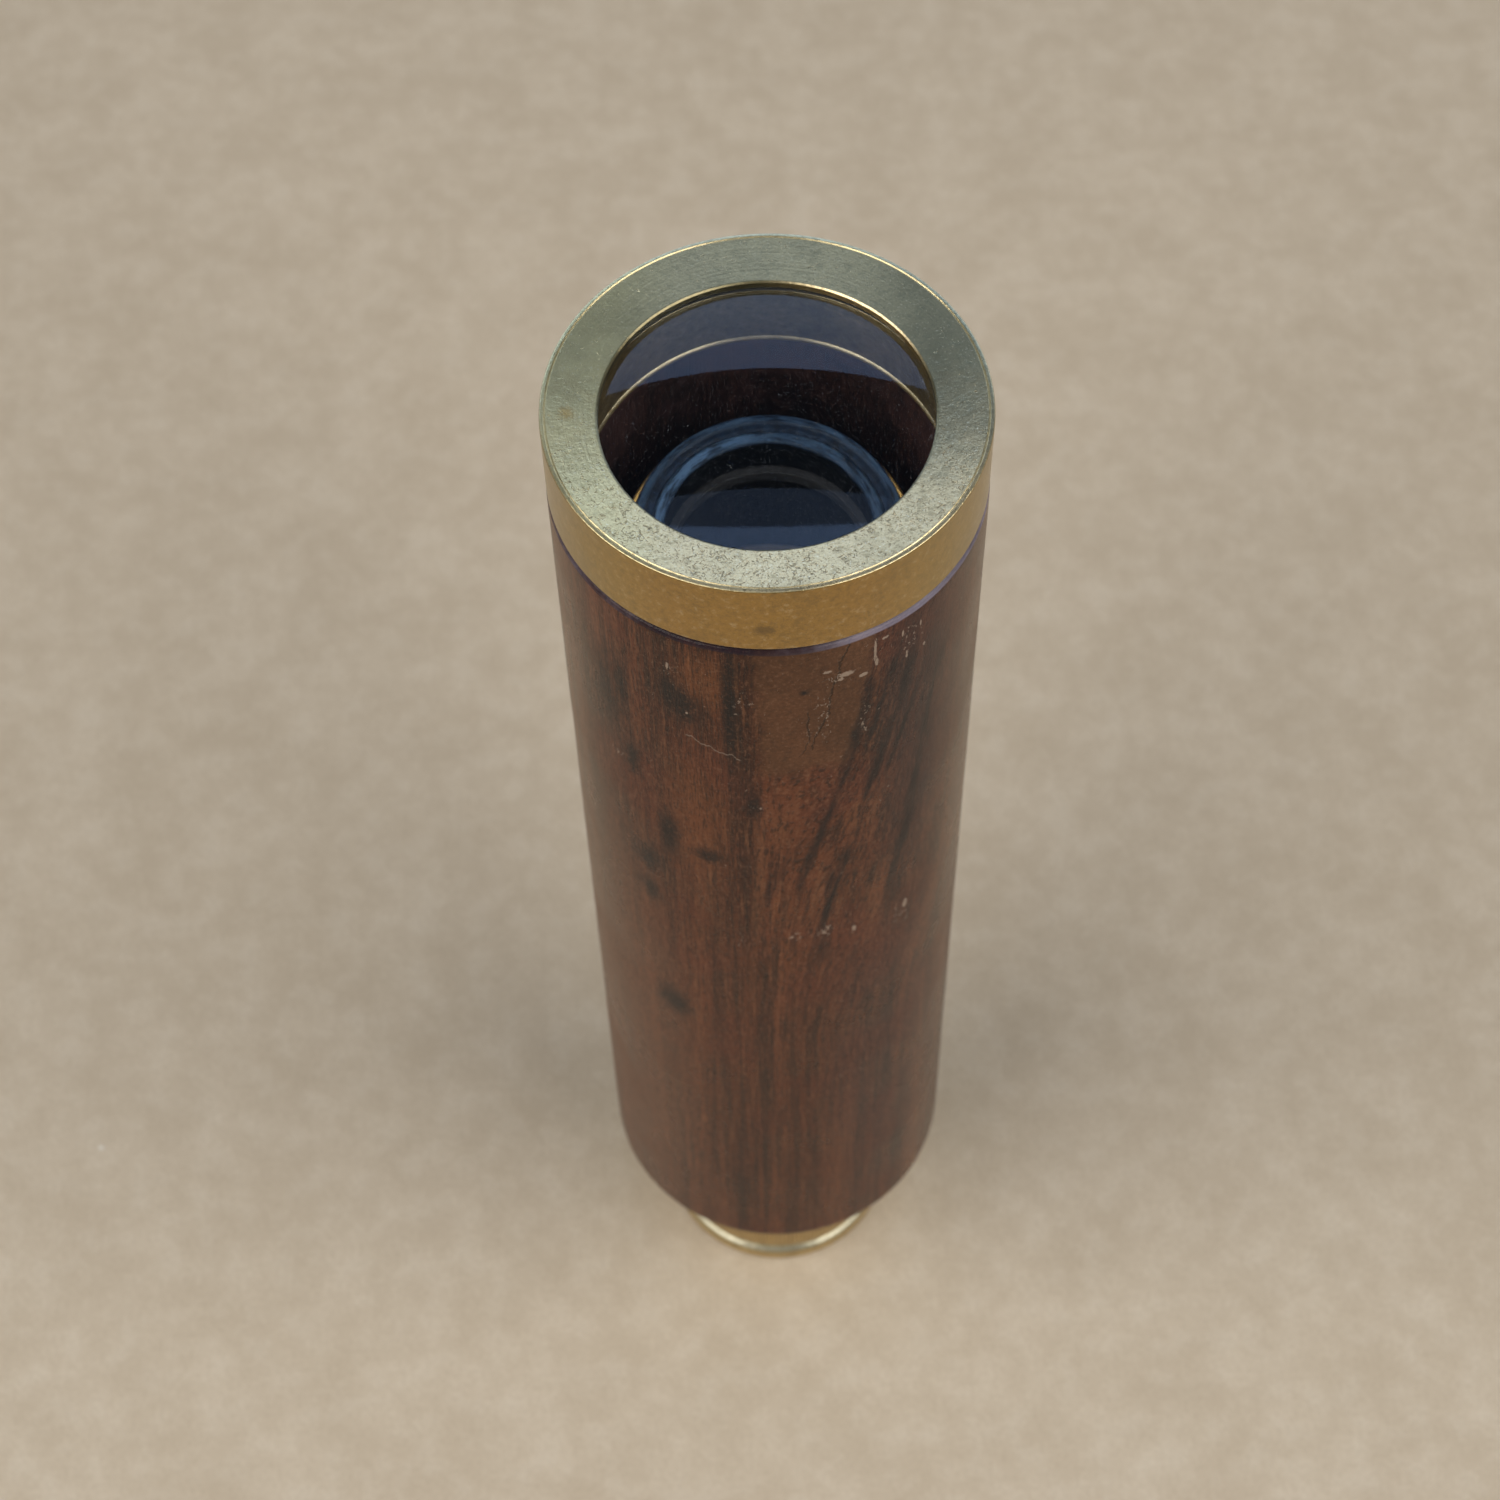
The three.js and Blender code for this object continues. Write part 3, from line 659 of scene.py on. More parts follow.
def lens_dust(g, dust):
    """Specks of dust on a glass's upper side, and ragged bits of old cement at its rim, on the right."""
    specks = 0
    for scale, size, share in ((4200, 0.19, dust * 1.6), (1700, 0.12, dust * 0.3)):
        distance, chance = g.cells(scale)
        dots = g.math("LESS_THAN", distance, g.smooth(chance, 1 - share, 1) * size)
        specks = g.larger(specks, dots)
    cement = g.noise(scale=1300, roughness=0.6, distortion=1.5)
    rim = g.smooth(g.radius(g.x, g.y), 0.0158, 0.0162) * g.smooth(g.x, 0.0135, 0.0152)
    return g.larger(specks, g.smooth(cement, 0.6, 0.64) * rim) * g.smooth(g.upward(), 0.2, 0.5)


def optical_glass(name, tint, bloom, dust=0):
    """Clear glass that lets light through to what lies behind it. bloom is the tinge of its reflections."""
    g = Graph(name)
    glass = g.principled(Base_Color=tint, Roughness=0, IOR=1.52, Transmission_Weight=1,
                         Specular_Tint=bloom)
    clear = g.shader("BsdfTransparent", {"Color": tint})
    in_shadow = g.add("LightPath").outputs["Is Shadow Ray"]
    shader = g.shader("MixShader", {0: in_shadow, 1: glass, 2: clear})
    if dust > 0:
        lint = g.shader("BsdfDiffuse", {"Color": (0.5, 0.53, 0.58)})
        shader = g.shader("MixShader", {0: lens_dust(g, dust) * 0.2, 1: shader, 2: lint})
    return g.surface(shader)


def blued_ring():
    """Blue-black lacquered metal, scuffed paler and rougher on the raised lip and on its outer edge. The
    lip's pale blue is partly a painted reflection, weaker towards the right, and faces that do not look up
    are painted near black as shade.
    """
    g = Graph("blued_ring")
    radius = g.radius(g.x, g.y) / MM
    looks_up = g.smooth(g.upward(), 0.1, 0.5)
    scuff = g.noise(scale=900, detail=5, roughness=0.75, distortion=0.6)
    scrape = g.noise(g.combine(radius * 2.2, g.x * 300, g.y * 300), detail=4, roughness=0.7)
    lip = g.window(radius, STOP_HOLE + 0.15, STOP_LIP + 0.05, 0.18)
    # Painted reflection: the lip's pale blue is weaker towards the right.
    lip = lip * g.blend_values(g.smooth(g.x, 0.002, -0.007), 0.35, 1)
    edge = g.window(radius, STOP_RADIUS - 0.75, STOP_RADIUS, 0.3) * 0.4
    worn = g.larger(lip, edge) * g.smooth(scrape, 0.36, 0.58)
    color = g.mix(g.smooth(scuff, 0.4, 0.7), (0.004, 0.012, 0.03), (0.012, 0.032, 0.072))
    # The pale blue is partly real scuffing and partly a painted reflection.
    color = g.mix(worn * looks_up, color, (0.1, 0.2, 0.37))
    # Painted shade: faces that do not look up are made near black.
    color = g.mix(looks_up, (0.004, 0.005, 0.007), color)
    return g.finish(Base_Color=color, Roughness=g.blend_values(worn, 0.45, 0.6),
                    Normal=g.bump(scuff, 0.00012, 0.6), Specular_IOR_Level=0.25)


def matt_black(name, tone=0.012):
    """Dull black paint or card with a soft grain."""
    g = Graph(name)
    grain = g.noise(scale=1800, detail=4, roughness=0.7)
    color = g.mix(grain, (tone * 0.5,) * 3, (tone * 2, tone * 2, tone * 2.2))
    relief = g.bump(grain, 0.00008, 0.5)
    return g.finish(Base_Color=color, Roughness=0.85, Normal=relief)


def mirror_glass():
    """Silvered on the side that looks at the axis, grey paint behind, and green ground edges."""
    g = Graph("mirror_glass")
    normal = g.add("NewGeometry").outputs["Normal"]
    outward = g.add("VectorMath", {0: g.combine(g.x, g.y, 0)}, operation="NORMALIZE").outputs[0]
    facing = g.value("VectorMath", {0: normal, 1: outward}, "Value", operation="DOT_PRODUCT")
    silvered = g.smooth(facing, -0.25, -0.32)
    back = g.smooth(facing, 0.85, 0.93)
    smears = g.noise(scale=220, detail=4, roughness=0.6)
    color = g.mix(back, (0.18, 0.32, 0.27), (0.2, 0.2, 0.21))
    color = g.mix(silvered, color, (0.86, 0.89, 0.9))
    rough = g.blend_values(silvered, 0.45, g.smooth(smears, 0.5, 0.8) * 0.06)
    return g.finish(Base_Color=color, Metallic=silvered, Roughness=rough)


def guide_leather():
    """Vegetable-tanned leather, dark and burnished where it runs on the wood."""
    g = Graph("guide_leather")
    inputs = {"Vector": g.vector, "Scale": 1100}
    cells = g.value("TexVoronoi", inputs, "Distance", feature="DISTANCE_TO_EDGE")
    tone = g.noise(scale=300, detail=4)
    color = g.mix(tone, (0.055, 0.028, 0.016), (0.17, 0.095, 0.055))
    relief = g.bump(g.smooth(cells, 0, 0.2), 0.00012, 0.6)
    return g.finish(Base_Color=color, Roughness=0.62, Normal=relief)


def liner_felt():
    """Short grey felt: matted fibres with a soft sheen."""
    g = Graph("liner_felt")
    fibres = g.noise(scale=3800, detail=5, roughness=0.8, distortion=1.5)
    color = g.mix(fibres, (0.018, 0.017, 0.02), (0.085, 0.08, 0.09))
    relief = g.bump(fibres, 0.0002, 0.8)
    return g.finish(Base_Color=color, Roughness=0.95, Normal=relief, Sheen_Weight=0.5)


def packing_card():
    """Grey-brown pulp card with flecks."""
    g = Graph("packing_card")
    pulp = g.noise(scale=1500, detail=5, roughness=0.75)
    fleck = g.smooth(g.noise(scale=2600, detail=2), 0.66, 0.72)
    color = g.mix(pulp, (0.22, 0.17, 0.11), (0.42, 0.34, 0.24))
    color = g.mix(fleck * 0.6, color, (0.08, 0.06, 0.05))
    relief = g.bump(pulp, 0.0001, 0.6)
    return g.finish(Base_Color=color, Roughness=0.92, Normal=relief)


def pale_paper():
    """The floor: plain pale wrapping paper, faintly mottled, with short fibres and a few tiny specks."""
    g = Graph("pale_paper")
    cloud = g.noise(scale=75, roughness=0.55)
    mottle = g.noise(scale=230, detail=4, roughness=0.62)
    fibre = g.noise(scale=1500, roughness=0.7)
    color = g.mix(g.smooth(cloud, 0.3, 0.7), (0.662, 0.566, 0.446), (0.728, 0.632, 0.51))
    color = g.mix(g.smooth(mottle, 0.46, 0.64) * 0.18, color, (0.545, 0.445, 0.33))
    color = g.mix(g.smooth(mottle, 0.52, 0.34) * 0.18, color, (0.86, 0.79, 0.69))
    color = g.mix(g.smooth(fibre, 0.4, 0.66) * 0.28, color, (0.5, 0.405, 0.295))
    dark_specks = (38, 0.03, 0.1, (0.3, 0.235, 0.17))
    pale_specks = (60, 0.028, 0.16, (0.92, 0.9, 0.86))
    for scale, radius, share, tone in (dark_specks, pale_specks):
        distance, chance = g.cells(scale)
        edge = distance + (fibre - 0.5) * 0.06
        size = g.smooth(chance, 1 - share, 1) * radius
        speck = g.smooth(size - edge, -0.006, 0.006)
        color = g.mix(speck * 0.65, color, tone)
    relief = g.bump(mottle * 1.5 + fibre * 0.5, 0.0003, 0.35)
    return g.finish(Base_Color=color, Roughness=0.85, Normal=relief)


WOOD = rosewood()
CAP_BRASS = brass("cap_brass", face=(0.83, 0.68, 0.41), band=(0.43, 0.258, 0.062), polish=0.58, lacquer=0.6,
                  wear_and_painted_light=cap_marks_and_painted_light)
FOOT_BRASS = brass("foot_brass", face=(0.88, 0.84, 0.64), band=(0.62, 0.47, 0.22), polish=0.45, lacquer=0.6)
TUBE_BRASS = brass("tube_brass", face=(0.78, 0.62, 0.34), band=(0.78, 0.62, 0.34), polish=0.7)
# The inner brass's faces are darker than its band: painted shade down inside the barrel and cap.
INNER_BRASS = brass("inner_brass", face=(0.42, 0.37, 0.25), band=(0.5, 0.38, 0.2), polish=0.5)
LENS_GLASS = optical_glass("lens_glass", (0.93, 0.96, 1), bloom=(0.44, 0.58, 0.88), dust=0.45)
COVER_GLASS = optical_glass("cover_glass", (0.95, 0.98, 0.97), bloom=(0.8, 0.9, 1))
BLUED = blued_ring()
BLACK_CARD = matt_black("black_card")
BLACK_PAINT = matt_black("black_paint", tone=0.018)
MIRROR = mirror_glass()
LEATHER = guide_leather()
FELT = liner_felt()
CARD = packing_card()


# ---- barrel

def wood_barrel():
    """The turned tube, very slightly uneven, with small dents and worn edges."""
    seat = FERRULE_LOW - FIT
    mouth = FERRULE_SPIGOT + FIT
    outline = divided(rounded([
        (WOOD_RADIUS, WOOD_LOW, 0.7), (WOOD_RADIUS, WOOD_HIGH, 0.75), (mouth, WOOD_HIGH, 0.1),
        (mouth, seat, 0.1), (WOOD_BORE, seat, 0.15), (WOOD_BORE, WOOD_LOW, 0.3),
    ], steps=6), 0.8)
    worn_depth = 1.2

    def worn(radius, height, angle):
        if radius < WOOD_RADIUS - worn_depth:
            return radius, height
        here = around(angle, 3, height / 14)
        unevenness = 0.05 * noise(here)
        edge = max(0, 1 - min(WOOD_HIGH - height, height - WOOD_LOW) / worn_depth)
        nibble = 0.1 * edge * max(0, noise(here * 9) - 0.12)
        outwards = 1 if height > (WOOD_LOW + WOOD_HIGH) / 2 else -1
        return radius + min(unevenness, 0.02) - nibble, height - nibble * outwards

    turned("wood_barrel", "turned", outline, WOOD, "barrel", FINEST, worn)


def thread_wave(height, angle, low, pitch=THREAD_PITCH):
    """How deep a right-handed thread is cut at a point, from 0 on a crest to 1 in a root."""
    turns = (height - low) / pitch - angle / (2 * pi)
    return abs(2 * (turns % 1) - 1)


def thread_points(radius, start, end):
    """Outline points from one height to another, close enough together to show a thread."""
    count = int(abs(end - start) / THREAD_PITCH * 8)
    return [(radius, start + (end - start) * k / count) for k in range(count + 1)]


def objective_ferrule():
    """The collar set into the wood, with the thread that takes the cap and a rolled lower edge."""
    shoulder = WOOD_HIGH + FIT
    thread_low = shoulder + 0.35
    thread_high = FERRULE_HIGH - 0.25
    lip = FERRULE_BORE - 0.22
    outline = [
        (FERRULE_BORE, FERRULE_LOW + 0.5), (lip + 0.06, FERRULE_LOW + 0.36), (lip, FERRULE_LOW + 0.22),
        (lip, FERRULE_LOW + 0.1), (lip + 0.1, FERRULE_LOW), (FERRULE_SPIGOT - 0.1, FERRULE_LOW),
        (FERRULE_SPIGOT, FERRULE_LOW + 0.1), (FERRULE_SPIGOT, shoulder), (THREAD_CREST, shoulder),
        *thread_points(THREAD_CREST, thread_low, thread_high),
        (THREAD_CREST - 0.25, FERRULE_HIGH), (FERRULE_BORE + 0.2, FERRULE_HIGH),
        (FERRULE_BORE, FERRULE_HIGH - 0.2),
    ]

    def threaded(radius, height, angle):
        if radius == THREAD_CREST and thread_low < height < thread_high:
            return radius - 0.22 * thread_wave(height, angle, thread_low), height
        return radius, height

    turned("objective_ferrule", "turned", outline, INNER_BRASS, "barrel", shape=threaded)


def screw_places():
    """Where the three screws stand round the bush."""
    outwards = Matrix.Translation((SCREW_CIRCLE * MM, 0, 0))
    return [Matrix.Rotation(radians(60 + 120 * k), 4, "Z") @ outwards for k in range(3)]


def cut_by(piece, tools):
    """Cuts the tools out of the piece's mesh, and removes them."""
    for tool in tools:
        cut = piece.modifiers.new("cut", "BOOLEAN")
        cut.object = tool
        cut.operation = "DIFFERENCE"
        cut.solver = "EXACT"
    bpy.context.view_layer.update()
    evaluated = piece.evaluated_get(bpy.context.evaluated_depsgraph_get())
    piece.data = bpy.data.meshes.new_from_object(evaluated)
    piece.modifiers.clear()
    shade(piece)
    for tool in tools:
        bpy.data.objects.remove(tool)


def box_tool(size, centre):
    """A plain box used only to cut with."""
    half = Vector(size) / 2
    square = ((-1, -1), (1, -1), (1, 1), (-1, 1))
    signs = [Vector((x, y, z)) for z in (-1, 1) for x, y in square]
    vertices = [tuple((Vector(centre) + sign * half) * MM) for sign in signs]
    faces = [(0, 3, 2, 1), (4, 5, 6, 7), (0, 1, 5, 4), (1, 2, 6, 5), (2, 3, 7, 6), (3, 0, 4, 7)]
    return mesh_object("cutting_box", vertices, faces)


def screw_hole(place):
    """What a countersunk screw's hole takes out of the bush."""
    head, shank = SCREW_HEAD + 0.1, SCREW_SHANK + 0.1
    tool = lathe("cutting_sink", [
        (0, BUSH_LOW - 1), (head, BUSH_LOW - 1), (head, BUSH_LOW),
        (shank, BUSH_LOW + SCREW_SINK), (shank, WOOD_LOW + 1), (0, WOOD_LOW + 1),
    ], 32)
    tool.data.transform(place)
    return tool


def lower_bush():
    """The guide bush: a thin flange under the wood and a spigot up its bore, with three screw holes."""
    flange_top = WOOD_LOW - FIT
    tube_hole = TUBE_RADIUS + 0.3
    outline = rounded([
        (BUSH_FLANGE, BUSH_LOW, 0.35), (BUSH_FLANGE, flange_top, 0.15), (WOOD_BORE - FIT, flange_top),
        (WOOD_BORE - FIT, BUSH_HIGH, 0.2), (BUSH_BORE, BUSH_HIGH, 0.15), (BUSH_BORE, BUSH_SEAT),
        (tube_hole, BUSH_SEAT), (tube_hole, BUSH_LOW, 0.3),
    ])
    piece = lathe("lower_bush_turned", outline)
    cut_by(piece, [screw_hole(place) for place in screw_places()])
    finish_piece(piece, INNER_BRASS, "barrel", "lower_bush")


def bush_screws():
    """Countersunk brass wood screws, each with a slot and a wood thread."""
    tip = BUSH_LOW + 8
    shank = [(SCREW_SHANK, BUSH_LOW + SCREW_SINK + 0.1 * n) for n in range(1, 57)]
    outline = [(0, BUSH_LOW), (SCREW_HEAD - 0.05, BUSH_LOW), (SCREW_HEAD, BUSH_LOW + 0.05),
               (SCREW_SHANK, BUSH_LOW + SCREW_SINK), *shank, (0.2, tip - 0.4), (0, tip)]

    def wood_thread(radius, height, angle):
        if radius != SCREW_SHANK or height <= BUSH_LOW + 2:
            return radius, height
        return radius - 0.16 * thread_wave(height, angle, 0, pitch=0.8), height

    for k, place in enumerate(screw_places(), 1):
        piece = lathe(f"bush_screw_{k}_turned", outline, 40, wood_thread)
        cut_by(piece, [box_tool((4, 0.32, 0.8), (0, 0, BUSH_LOW))])
        piece.data.transform(place)
        finish_piece(piece, TUBE_BRASS, "barrel", f"bush_screw_{k}")


def bush_liner():
    """The felt sleeve that the draw tube runs in."""
    low, high = BUSH_SEAT + FIT, BUSH_HIGH - 0.3
    outline = divided(ring_outline(BUSH_BORE - FIT, TUBE_RADIUS + RUN, low, high, 0.25), 0.5)

    def fuzzy(radius, height, angle):
        fuzz = 0.05 * abs(noise(around(angle, 30, height * 2)))
        return radius - fuzz * (1 if radius > TUBE_RADIUS + 0.5 else -0.5), height

    turned("bush_liner", "felt", outline, FELT, "barrel", shape=fuzzy)


# ---- cap and lens

def objective_cap():
    """The brass cap: plain band, rolled rim with a fine groove inside it, dished face, thread inside."""
    thread_top = FERRULE_HIGH + FIT
    skin = rounded([
        (THREAD_BORE + 0.4, CAP_BOTTOM, 0.1), (CAP_RADIUS, CAP_BOTTOM, 0.25), (CAP_RADIUS, TOP - 0.02, 0.26),
        (CAP_RADIUS - 0.42, TOP, 0.08), (CAP_RADIUS - 0.52, TOP - 0.13, 0.05),
        (CAP_RADIUS - 0.64, TOP - 0.04, 0.05), (CAP_HOLE + 0.2, TOP - CAP_DISH, 0.12),
        (CAP_HOLE, TOP - CAP_DISH - 0.17, 0.12), (CAP_HOLE, TOP - CAP_FLANGE, 0.05),
        (LENS_POCKET, TOP - CAP_FLANGE, 0.1), (LENS_POCKET, thread_top, 0.1), (THREAD_BORE, thread_top, 0.05),
    ], steps=5)
    thread = thread_points(THREAD_BORE, thread_top - 0.1, CAP_BOTTOM + 0.5)

    def struck(radius, height, angle):
        """The rim has a few shallow knocks and the hole's edge is not quite true."""
        if radius == THREAD_BORE and height < thread_top - 0.2:
            return radius + 0.18 * thread_wave(height, angle, CAP_BOTTOM), height
        here = around(angle, 6, 0.3)
        if height > TOP - 0.6 and radius > CAP_RADIUS - 1:
            knock = 0.1 * max(0, noise(here * 2.5) - 0.35)
            return radius - knock, height - knock
        if radius < CAP_HOLE + 0.6 and height > TOP - 1.6:
            return radius + 0.02 * noise(here * 3), height
        return radius, height

    turned("objective_cap", "turned", [*skin, *thread], CAP_BRASS, "cap", FINEST, struck)


def objective_lens():
    """A lens domed outwards and very slightly hollow underneath, with a ground edge."""
    edge = LENS_RADIUS - 0.15

    def side(curve, middle, steps):
        distances = [edge * k / steps for k in range(steps + 1)]
        return [(r, middle - curve + sqrt(curve ** 2 - r ** 2)) for r in distances]

    rise = LENS_HOLLOW - sqrt(LENS_HOLLOW ** 2 - LENS_RADIUS ** 2)
    underside = side(LENS_HOLLOW, LENS_LOW + rise, 12)
    dome = side(LENS_CURVE, TOP - LENS_APEX, 26)[::-1]
    outline = [*underside, (LENS_RADIUS, LENS_LOW + 0.15), (LENS_RADIUS, dome[0][1] - 0.12), *dome]
    turned("objective_lens", "ground", outline, LENS_GLASS, "lens")


def lens_retainer():
    """The split spring ring under the lens."""
    low, high = heights("lens_retainer")
    outer_edge = LENS_POCKET - FIT
    piece = lathe("lens_retainer_split", ring_outline(outer_edge, LENS_SEAT_HOLE, low, high, 0.12))
    cut_by(piece, [box_tool((4, 3, 3), (LENS_POCKET - 0.5, 0, low))])
    finish_piece(piece, INNER_BRASS, "cap", "lens_retainer")


# ---- draw tube

def draw_tube():
    """Thin seamless tube with rounded ends."""
    outline = ring_outline(TUBE_RADIUS, TUBE_BORE, TUBE_LOW, TUBE_HIGH, 0.2)
    turned("draw_tube", "drawn", outline, TUBE_BRASS, "draw")


def front_stop_ring():
    """The ring that closes the draw tube, with an uneven raised lip round its hole."""
    low, high = heights("front_stop_ring")
    base = high - 0.35
    outline = divided(rounded([
        (TUBE_BORE - FIT, low, 0.1), (TUBE_BORE - FIT, TUBE_HIGH - 0.1, 0.1), (STOP_RADIUS, TUBE_HIGH, 0.1),
        (STOP_RADIUS, base + 0.15, 0.4), (STOP_RADIUS - 0.75, base + 0.15, 0.2),
        (STOP_RADIUS - 0.95, base, 0.2), (STOP_LIP + 0.1, base, 0.25), (STOP_LIP - 0.15, high, 0.2),
        (STOP_HOLE, high, 0.3), (STOP_HOLE, low, 0.1),
    ], steps=5), 0.25)

    def rough_lip(radius, height, angle):
        if height < base - 0.3 or radius > STOP_LIP + 0.4:
            return radius, height
        here = around(angle, 7, radius * 1.5)
        rough = noise(here * 1.7) + 0.6 * noise(here * 5)
        return radius + 0.1 * noise(here), height - 0.1 - 0.12 * abs(rough)

    turned("front_stop_ring", "lacquered", outline, BLUED, "draw", FINEST, rough_lip)


def plain_ring(node, finish, outer_edge, hole, material, body, fillet=0.15, segments=PLAIN):
    """A ring that fills its node's height, with softened edges."""
    outline = ring_outline(outer_edge, hole, *heights(node), fillet)
    turned(node, finish, outline, material, body, segments)


def plain_rings():
    plain_ring("lens_washer", "card", LENS_RADIUS, LENS_SEAT_HOLE, BLACK_CARD, "lens", 0.08,
               FINE)
    for node in ("guide_collar_upper", "guide_collar_lower"):
        plain_ring(node, "turned", GUIDE_COLLAR_RADIUS, TUBE_RADIUS + FIT, INNER_BRASS, "draw",
                   0.3)
    inside = TUBE_BORE - FIT
    plain_ring("inner_stop", "ring", inside, INNER_STOP_HOLE, BLACK_PAINT, "draw")
    plain_ring("tube_liner", "card", inside, TUBE_BORE - 0.46, BLACK_CARD, "draw")
    plain_ring("mirror_end_ring", "turned", inside, MIRROR_RING_HOLE, BLACK_PAINT, "draw")
    plain_ring("eye_stop", "disc", EYE_THREAD_BORE - RUN, PEEPHOLE, BLACK_PAINT, "draw", 0.08)


def guide_ring():
    """The leather ring, slightly barrelled and creased where it has bedded in."""
    low, high = heights("guide_ring")
    outer_edge = outer("guide_ring")
    middle = (low + high) / 2
    outline = divided(ring_outline(outer_edge, TUBE_RADIUS + RUN, low, high, 0.6), 0.5)

    def bedded(radius, height, angle):
        if radius < outer_edge - 1:
            return radius, height
        belly = 0.25 * ((height - middle) / (high - middle)) ** 2
        return radius - belly - 0.08 * abs(noise(around(angle, 12, height))), height

    turned("guide_ring", "leather", outline, LEATHER, "guide", shape=bedded)


def softened_node(node, name, material, width):
    """A straight-edged CAD solid of the draw tube, rebuilt with small ground edges."""
    piece = new_object(name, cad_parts[node].data.copy())
    merge = piece.modifiers.new("merge", "WELD")
    merge.merge_threshold = 0.00001
    ground = piece.modifiers.new("ground_edges", "BEVEL")
    ground.width = width * MM
    ground.segments = 2
    ground.limit_method = "ANGLE"
    ground.angle_limit = radians(50)
    finish_piece(piece, material, "draw", node)


def mirror_box():
    """Three mirror strips in a triangle, each wedged by a strip of card."""
    for k in range(1, 4):
        softened_node(f"mirror_{k}", f"mirror_{k}_strip", MIRROR, 0.12)
        softened_node(f"mirror_packing_{k}", f"mirror_packing_{k}_card", CARD, 0.25)


# ---- eyepiece

def bead(radius, height, size, start, end, step):
    """An arc of an outline, from one angle to another in degrees."""
    angles = [radians(angle) for angle in range(start, end, step)]
    return [(radius + size * cos(angle), height + size * sin(angle)) for angle in angles]


def eyepiece_collar():
    """The collar on the draw tube: plain neck, and a bead where it meets the bush."""
    bore = TUBE_RADIUS + FIT
    thread = EYE_THREAD_BORE - FIT
    seat = EYEPIECE_HIGH + FIT
    size = 1.2
    outline = [
        (thread, TUBE_LOW), (thread, seat), (NECK_RADIUS - 0.1, seat),
        (NECK_RADIUS, seat + 0.1), (NECK_RADIUS, COLLAR_HIGH - 2 * size),
        *bead(NECK_RADIUS + 0.6 - size, COLLAR_HIGH - size, size, -60, 61, 8),
        (NECK_RADIUS - 0.1, COLLAR_HIGH), (bore + 0.1, COLLAR_HIGH), (bore, COLLAR_HIGH - 0.1),
        (bore, TUBE_LOW),
    ]
    turned("eyepiece_collar", "turned", outline, FOOT_BRASS, "draw")


def eyepiece_cap():
    """Foot bead, groove, finely knurled band and cove outside; a hollow with a peephole seat underneath."""
    size = 1.8
    rows = 10
    knurl = [(KNURL_RADIUS, KNURL_LOW + (KNURL_HIGH - KNURL_LOW) * k / rows) for k in range(rows + 1)]
    cove_low, cove_high = KNURL_HIGH + 0.3, EYEPIECE_HIGH - 0.2
    cove = []
    for k in range(9):
        angle = radians(90 * k / 8)
        cove.append((NECK_RADIUS + (KNURL_RADIUS - 0.4 - NECK_RADIUS) * (1 - sin(angle)),
                     cove_high - (cove_high - cove_low) * cos(angle)))
    web_low, web_high, web_hole = 4.1, 5.4, 6
    hollow = rounded([
        (EYE_THREAD_BORE, EYEPIECE_HIGH), (EYE_THREAD_BORE, web_high), (web_hole, web_high, 0.2),
        (web_hole, web_low, 0.3), (7.5, 2.6, 0.6), (11.2, 1.2, 0.6), (12.7, 0.12, 0.2),
    ])
    outline = [
        (14, 0), *bead(FOOT_RADIUS - size, size, size, -80, 67, 7),
        (14.5, 3.65), (14.45, 4.1), (14.5, 4.55),
        (KNURL_RADIUS - 0.25, KNURL_LOW - 0.1), *knurl, (KNURL_RADIUS - 0.3, KNURL_HIGH + 0.1), *cove,
        (NECK_RADIUS - 0.08, EYEPIECE_HIGH), *hollow, (12.9, 0),
    ]

    def knurled(radius, height, angle):
        if radius != KNURL_RADIUS:
            return radius, height
        ends = min(height - KNURL_LOW, KNURL_HIGH - height)
        fade = min(1, max(0, ends / 0.3))
        wave = 0.5 - 0.5 * cos(angle * KNURL_TEETH)
        return radius - 0.26 * (wave * fade + (1 - fade)), height

    turned("eyepiece_cap", "knurled", outline, FOOT_BRASS, "draw", KNURL_TEETH * 7, knurled)


def eye_glass():
    low, high = heights("eye_glass")
    edge = EYE_THREAD_BORE - RUN
    outline = rounded([(0, low), (edge, low, 0.15), (edge, high, 0.15), (0, high)])
    turned("eye_glass", "disc", outline, COVER_GLASS, "draw", PLAIN)


# ---- stage

def floor():
    """A wide round sheet, so that its far edge looks level from every side."""
    radius, corners = 2.8, 96
    turns = [2 * pi * k / corners for k in range(corners)]
    vertices = [(radius * cos(turn), radius * sin(turn), 0) for turn in turns]
    ground = mesh_object("floor", vertices, [tuple(range(corners))])
    ground.data.materials.append(pale_paper())


def soft_light(name, place, aim, width, height, strength, color):
    """A soft box at a place, facing another. strength is its brightness."""
    direction = Vector(aim) - Vector(place)
    data = bpy.data.lights.new(name, "AREA")
    data.shape = "RECTANGLE"
    data.size = width
    data.size_y = height
    data.energy = strength * width * height * pi
    data.color = color
    lamp = new_object(name, data)
    lamp.location = place
    lamp.rotation_euler = direction.to_track_quat("-Z", "Y").to_euler()
    return lamp


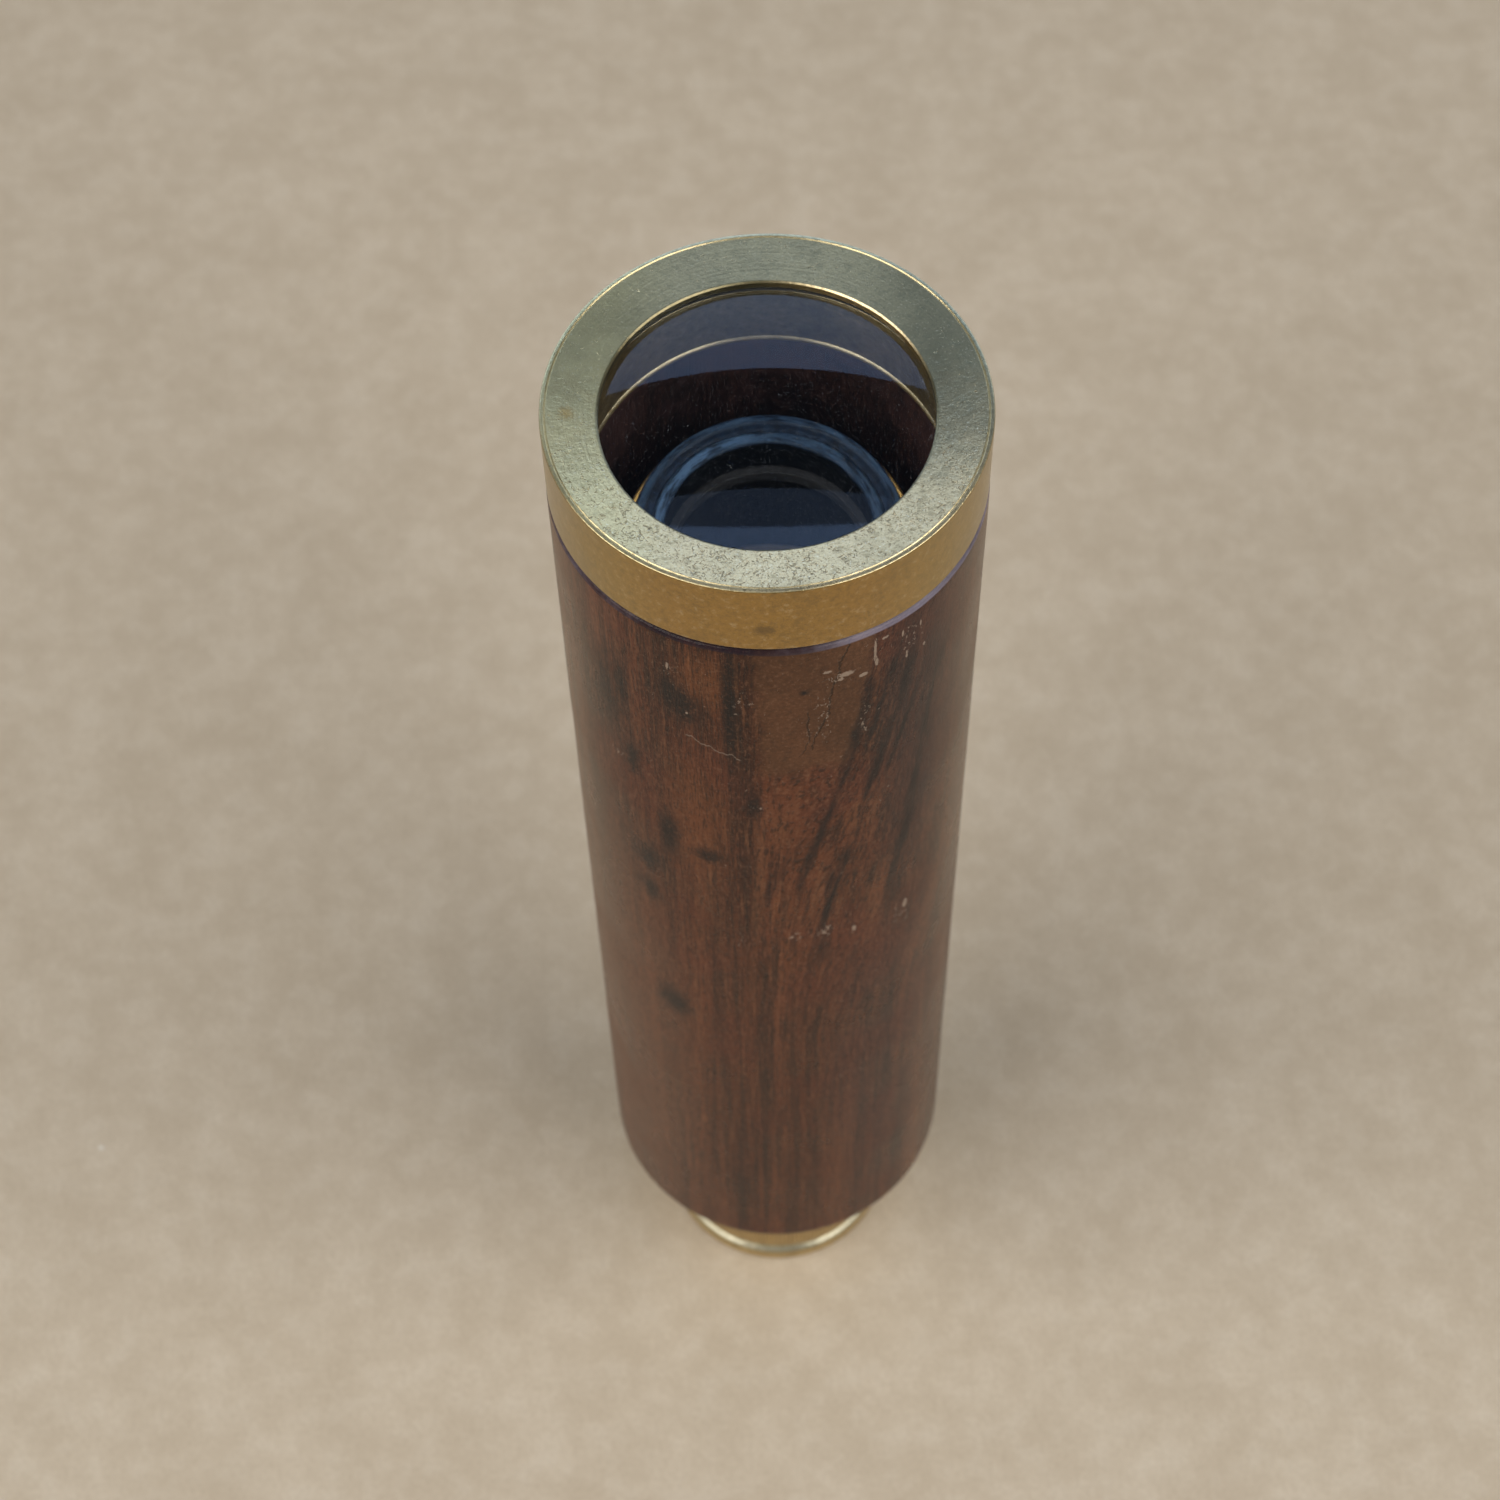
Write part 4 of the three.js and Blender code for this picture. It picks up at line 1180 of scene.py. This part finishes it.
def room():
    """A very dim surrounding, with a pale backdrop that the camera sees but that gives no light."""
    world = bpy.data.worlds.new("room")
    world.use_nodes = True
    nodes, links = world.node_tree.nodes, world.node_tree.links
    dim = nodes["Background"]
    dim.inputs["Color"].default_value = (0.9, 0.97, 1, 1)
    dim.inputs["Strength"].default_value = 0.035
    backdrop = nodes.new("ShaderNodeBackground")
    backdrop.inputs["Color"].default_value = (0.42, 0.38, 0.33, 1)
    seen = nodes.new("ShaderNodeLightPath").outputs["Is Camera Ray"]
    mixed = nodes.new("ShaderNodeMixShader")
    for socket, source in zip(mixed.inputs, (seen, dim.outputs[0], backdrop.outputs[0])):
        links.new(source, socket)
    links.new(mixed.outputs[0], nodes["World Output"].inputs["Surface"])
    bpy.context.scene.world = world
    bpy.context.scene.view_settings.view_transform = "Standard"


def lights():
    """An upright window behind the object, which only shows in reflections, a panel overhead, and a warm
    soft box at each side of the viewer."""
    lens_height = TOP * MM
    away = 1.4
    low, high = (lens_height + away * tan(radians(angle)) for angle in (2, 43.6))
    middle = (low + high) / 2
    window = soft_light("back_window", (0, away, middle), (0, 0, middle), 3.3, high - low, 1.25,
                        (0.62, 0.78, 1))
    window.visible_diffuse = False

    ceiling, right = 1.4, 0.1
    back_edge, front_edge = ceiling / tan(radians(67)), -0.5
    middle = (back_edge + front_edge) / 2
    soft_light("overhead", (right, middle, ceiling + lens_height), (right, middle, 0), 1.5,
               back_edge - front_edge, 0.42, (0.7, 0.84, 1))

    turn, lift, distance = radians(60), radians(44), 1.5
    for name, side in (("left_softbox", -1), ("right_softbox", 1)):
        level = Vector((side * sin(turn), -cos(turn), 0)) * cos(lift)
        place = (level + Vector((0, 0, sin(lift)))) * distance
        soft_light(name, place, (0, 0, 0.09), 1.35, 0.95, 3.15, (1, 0.955, 0.88))


def camera():
    """Looks down at the front, focused on the cap's front."""
    distance = 13.2054 * CAP_RADIUS * MM
    elevation = radians(51.43)
    look_down = radians(57.98)
    look_left = radians(0.79)
    roll = radians(-1.52)
    focus = new_object("focus_point", None)
    focus.location = (0, -CAP_RADIUS * MM, (TOP - 8) * MM)
    data = bpy.data.cameras.new("camera")
    data.sensor_width = 36
    data.lens = 71.92
    data.clip_start = 0.01
    data.dof.use_dof = True
    data.dof.focus_object = focus
    data.dof.aperture_fstop = 42
    eye = new_object("camera", data)
    ahead, above = distance * cos(elevation), distance * sin(elevation)
    level = Euler((pi / 2 - look_down, 0, look_left), "XYZ").to_matrix().to_4x4()
    place = Matrix.Translation((0, -ahead, TOP * MM + above))
    eye.matrix_world = place @ level @ Matrix.Rotation(roll, 4, "Z")
    bpy.context.scene.camera = eye


# ---- assembly

wood_barrel()
objective_ferrule()
lower_bush()
bush_screws()
bush_liner()
objective_cap()
objective_lens()
lens_retainer()
guide_ring()
draw_tube()
front_stop_ring()
plain_rings()
mirror_box()
eyepiece_collar()
eyepiece_cap()
eye_glass()
floor()
room()
lights()
camera()
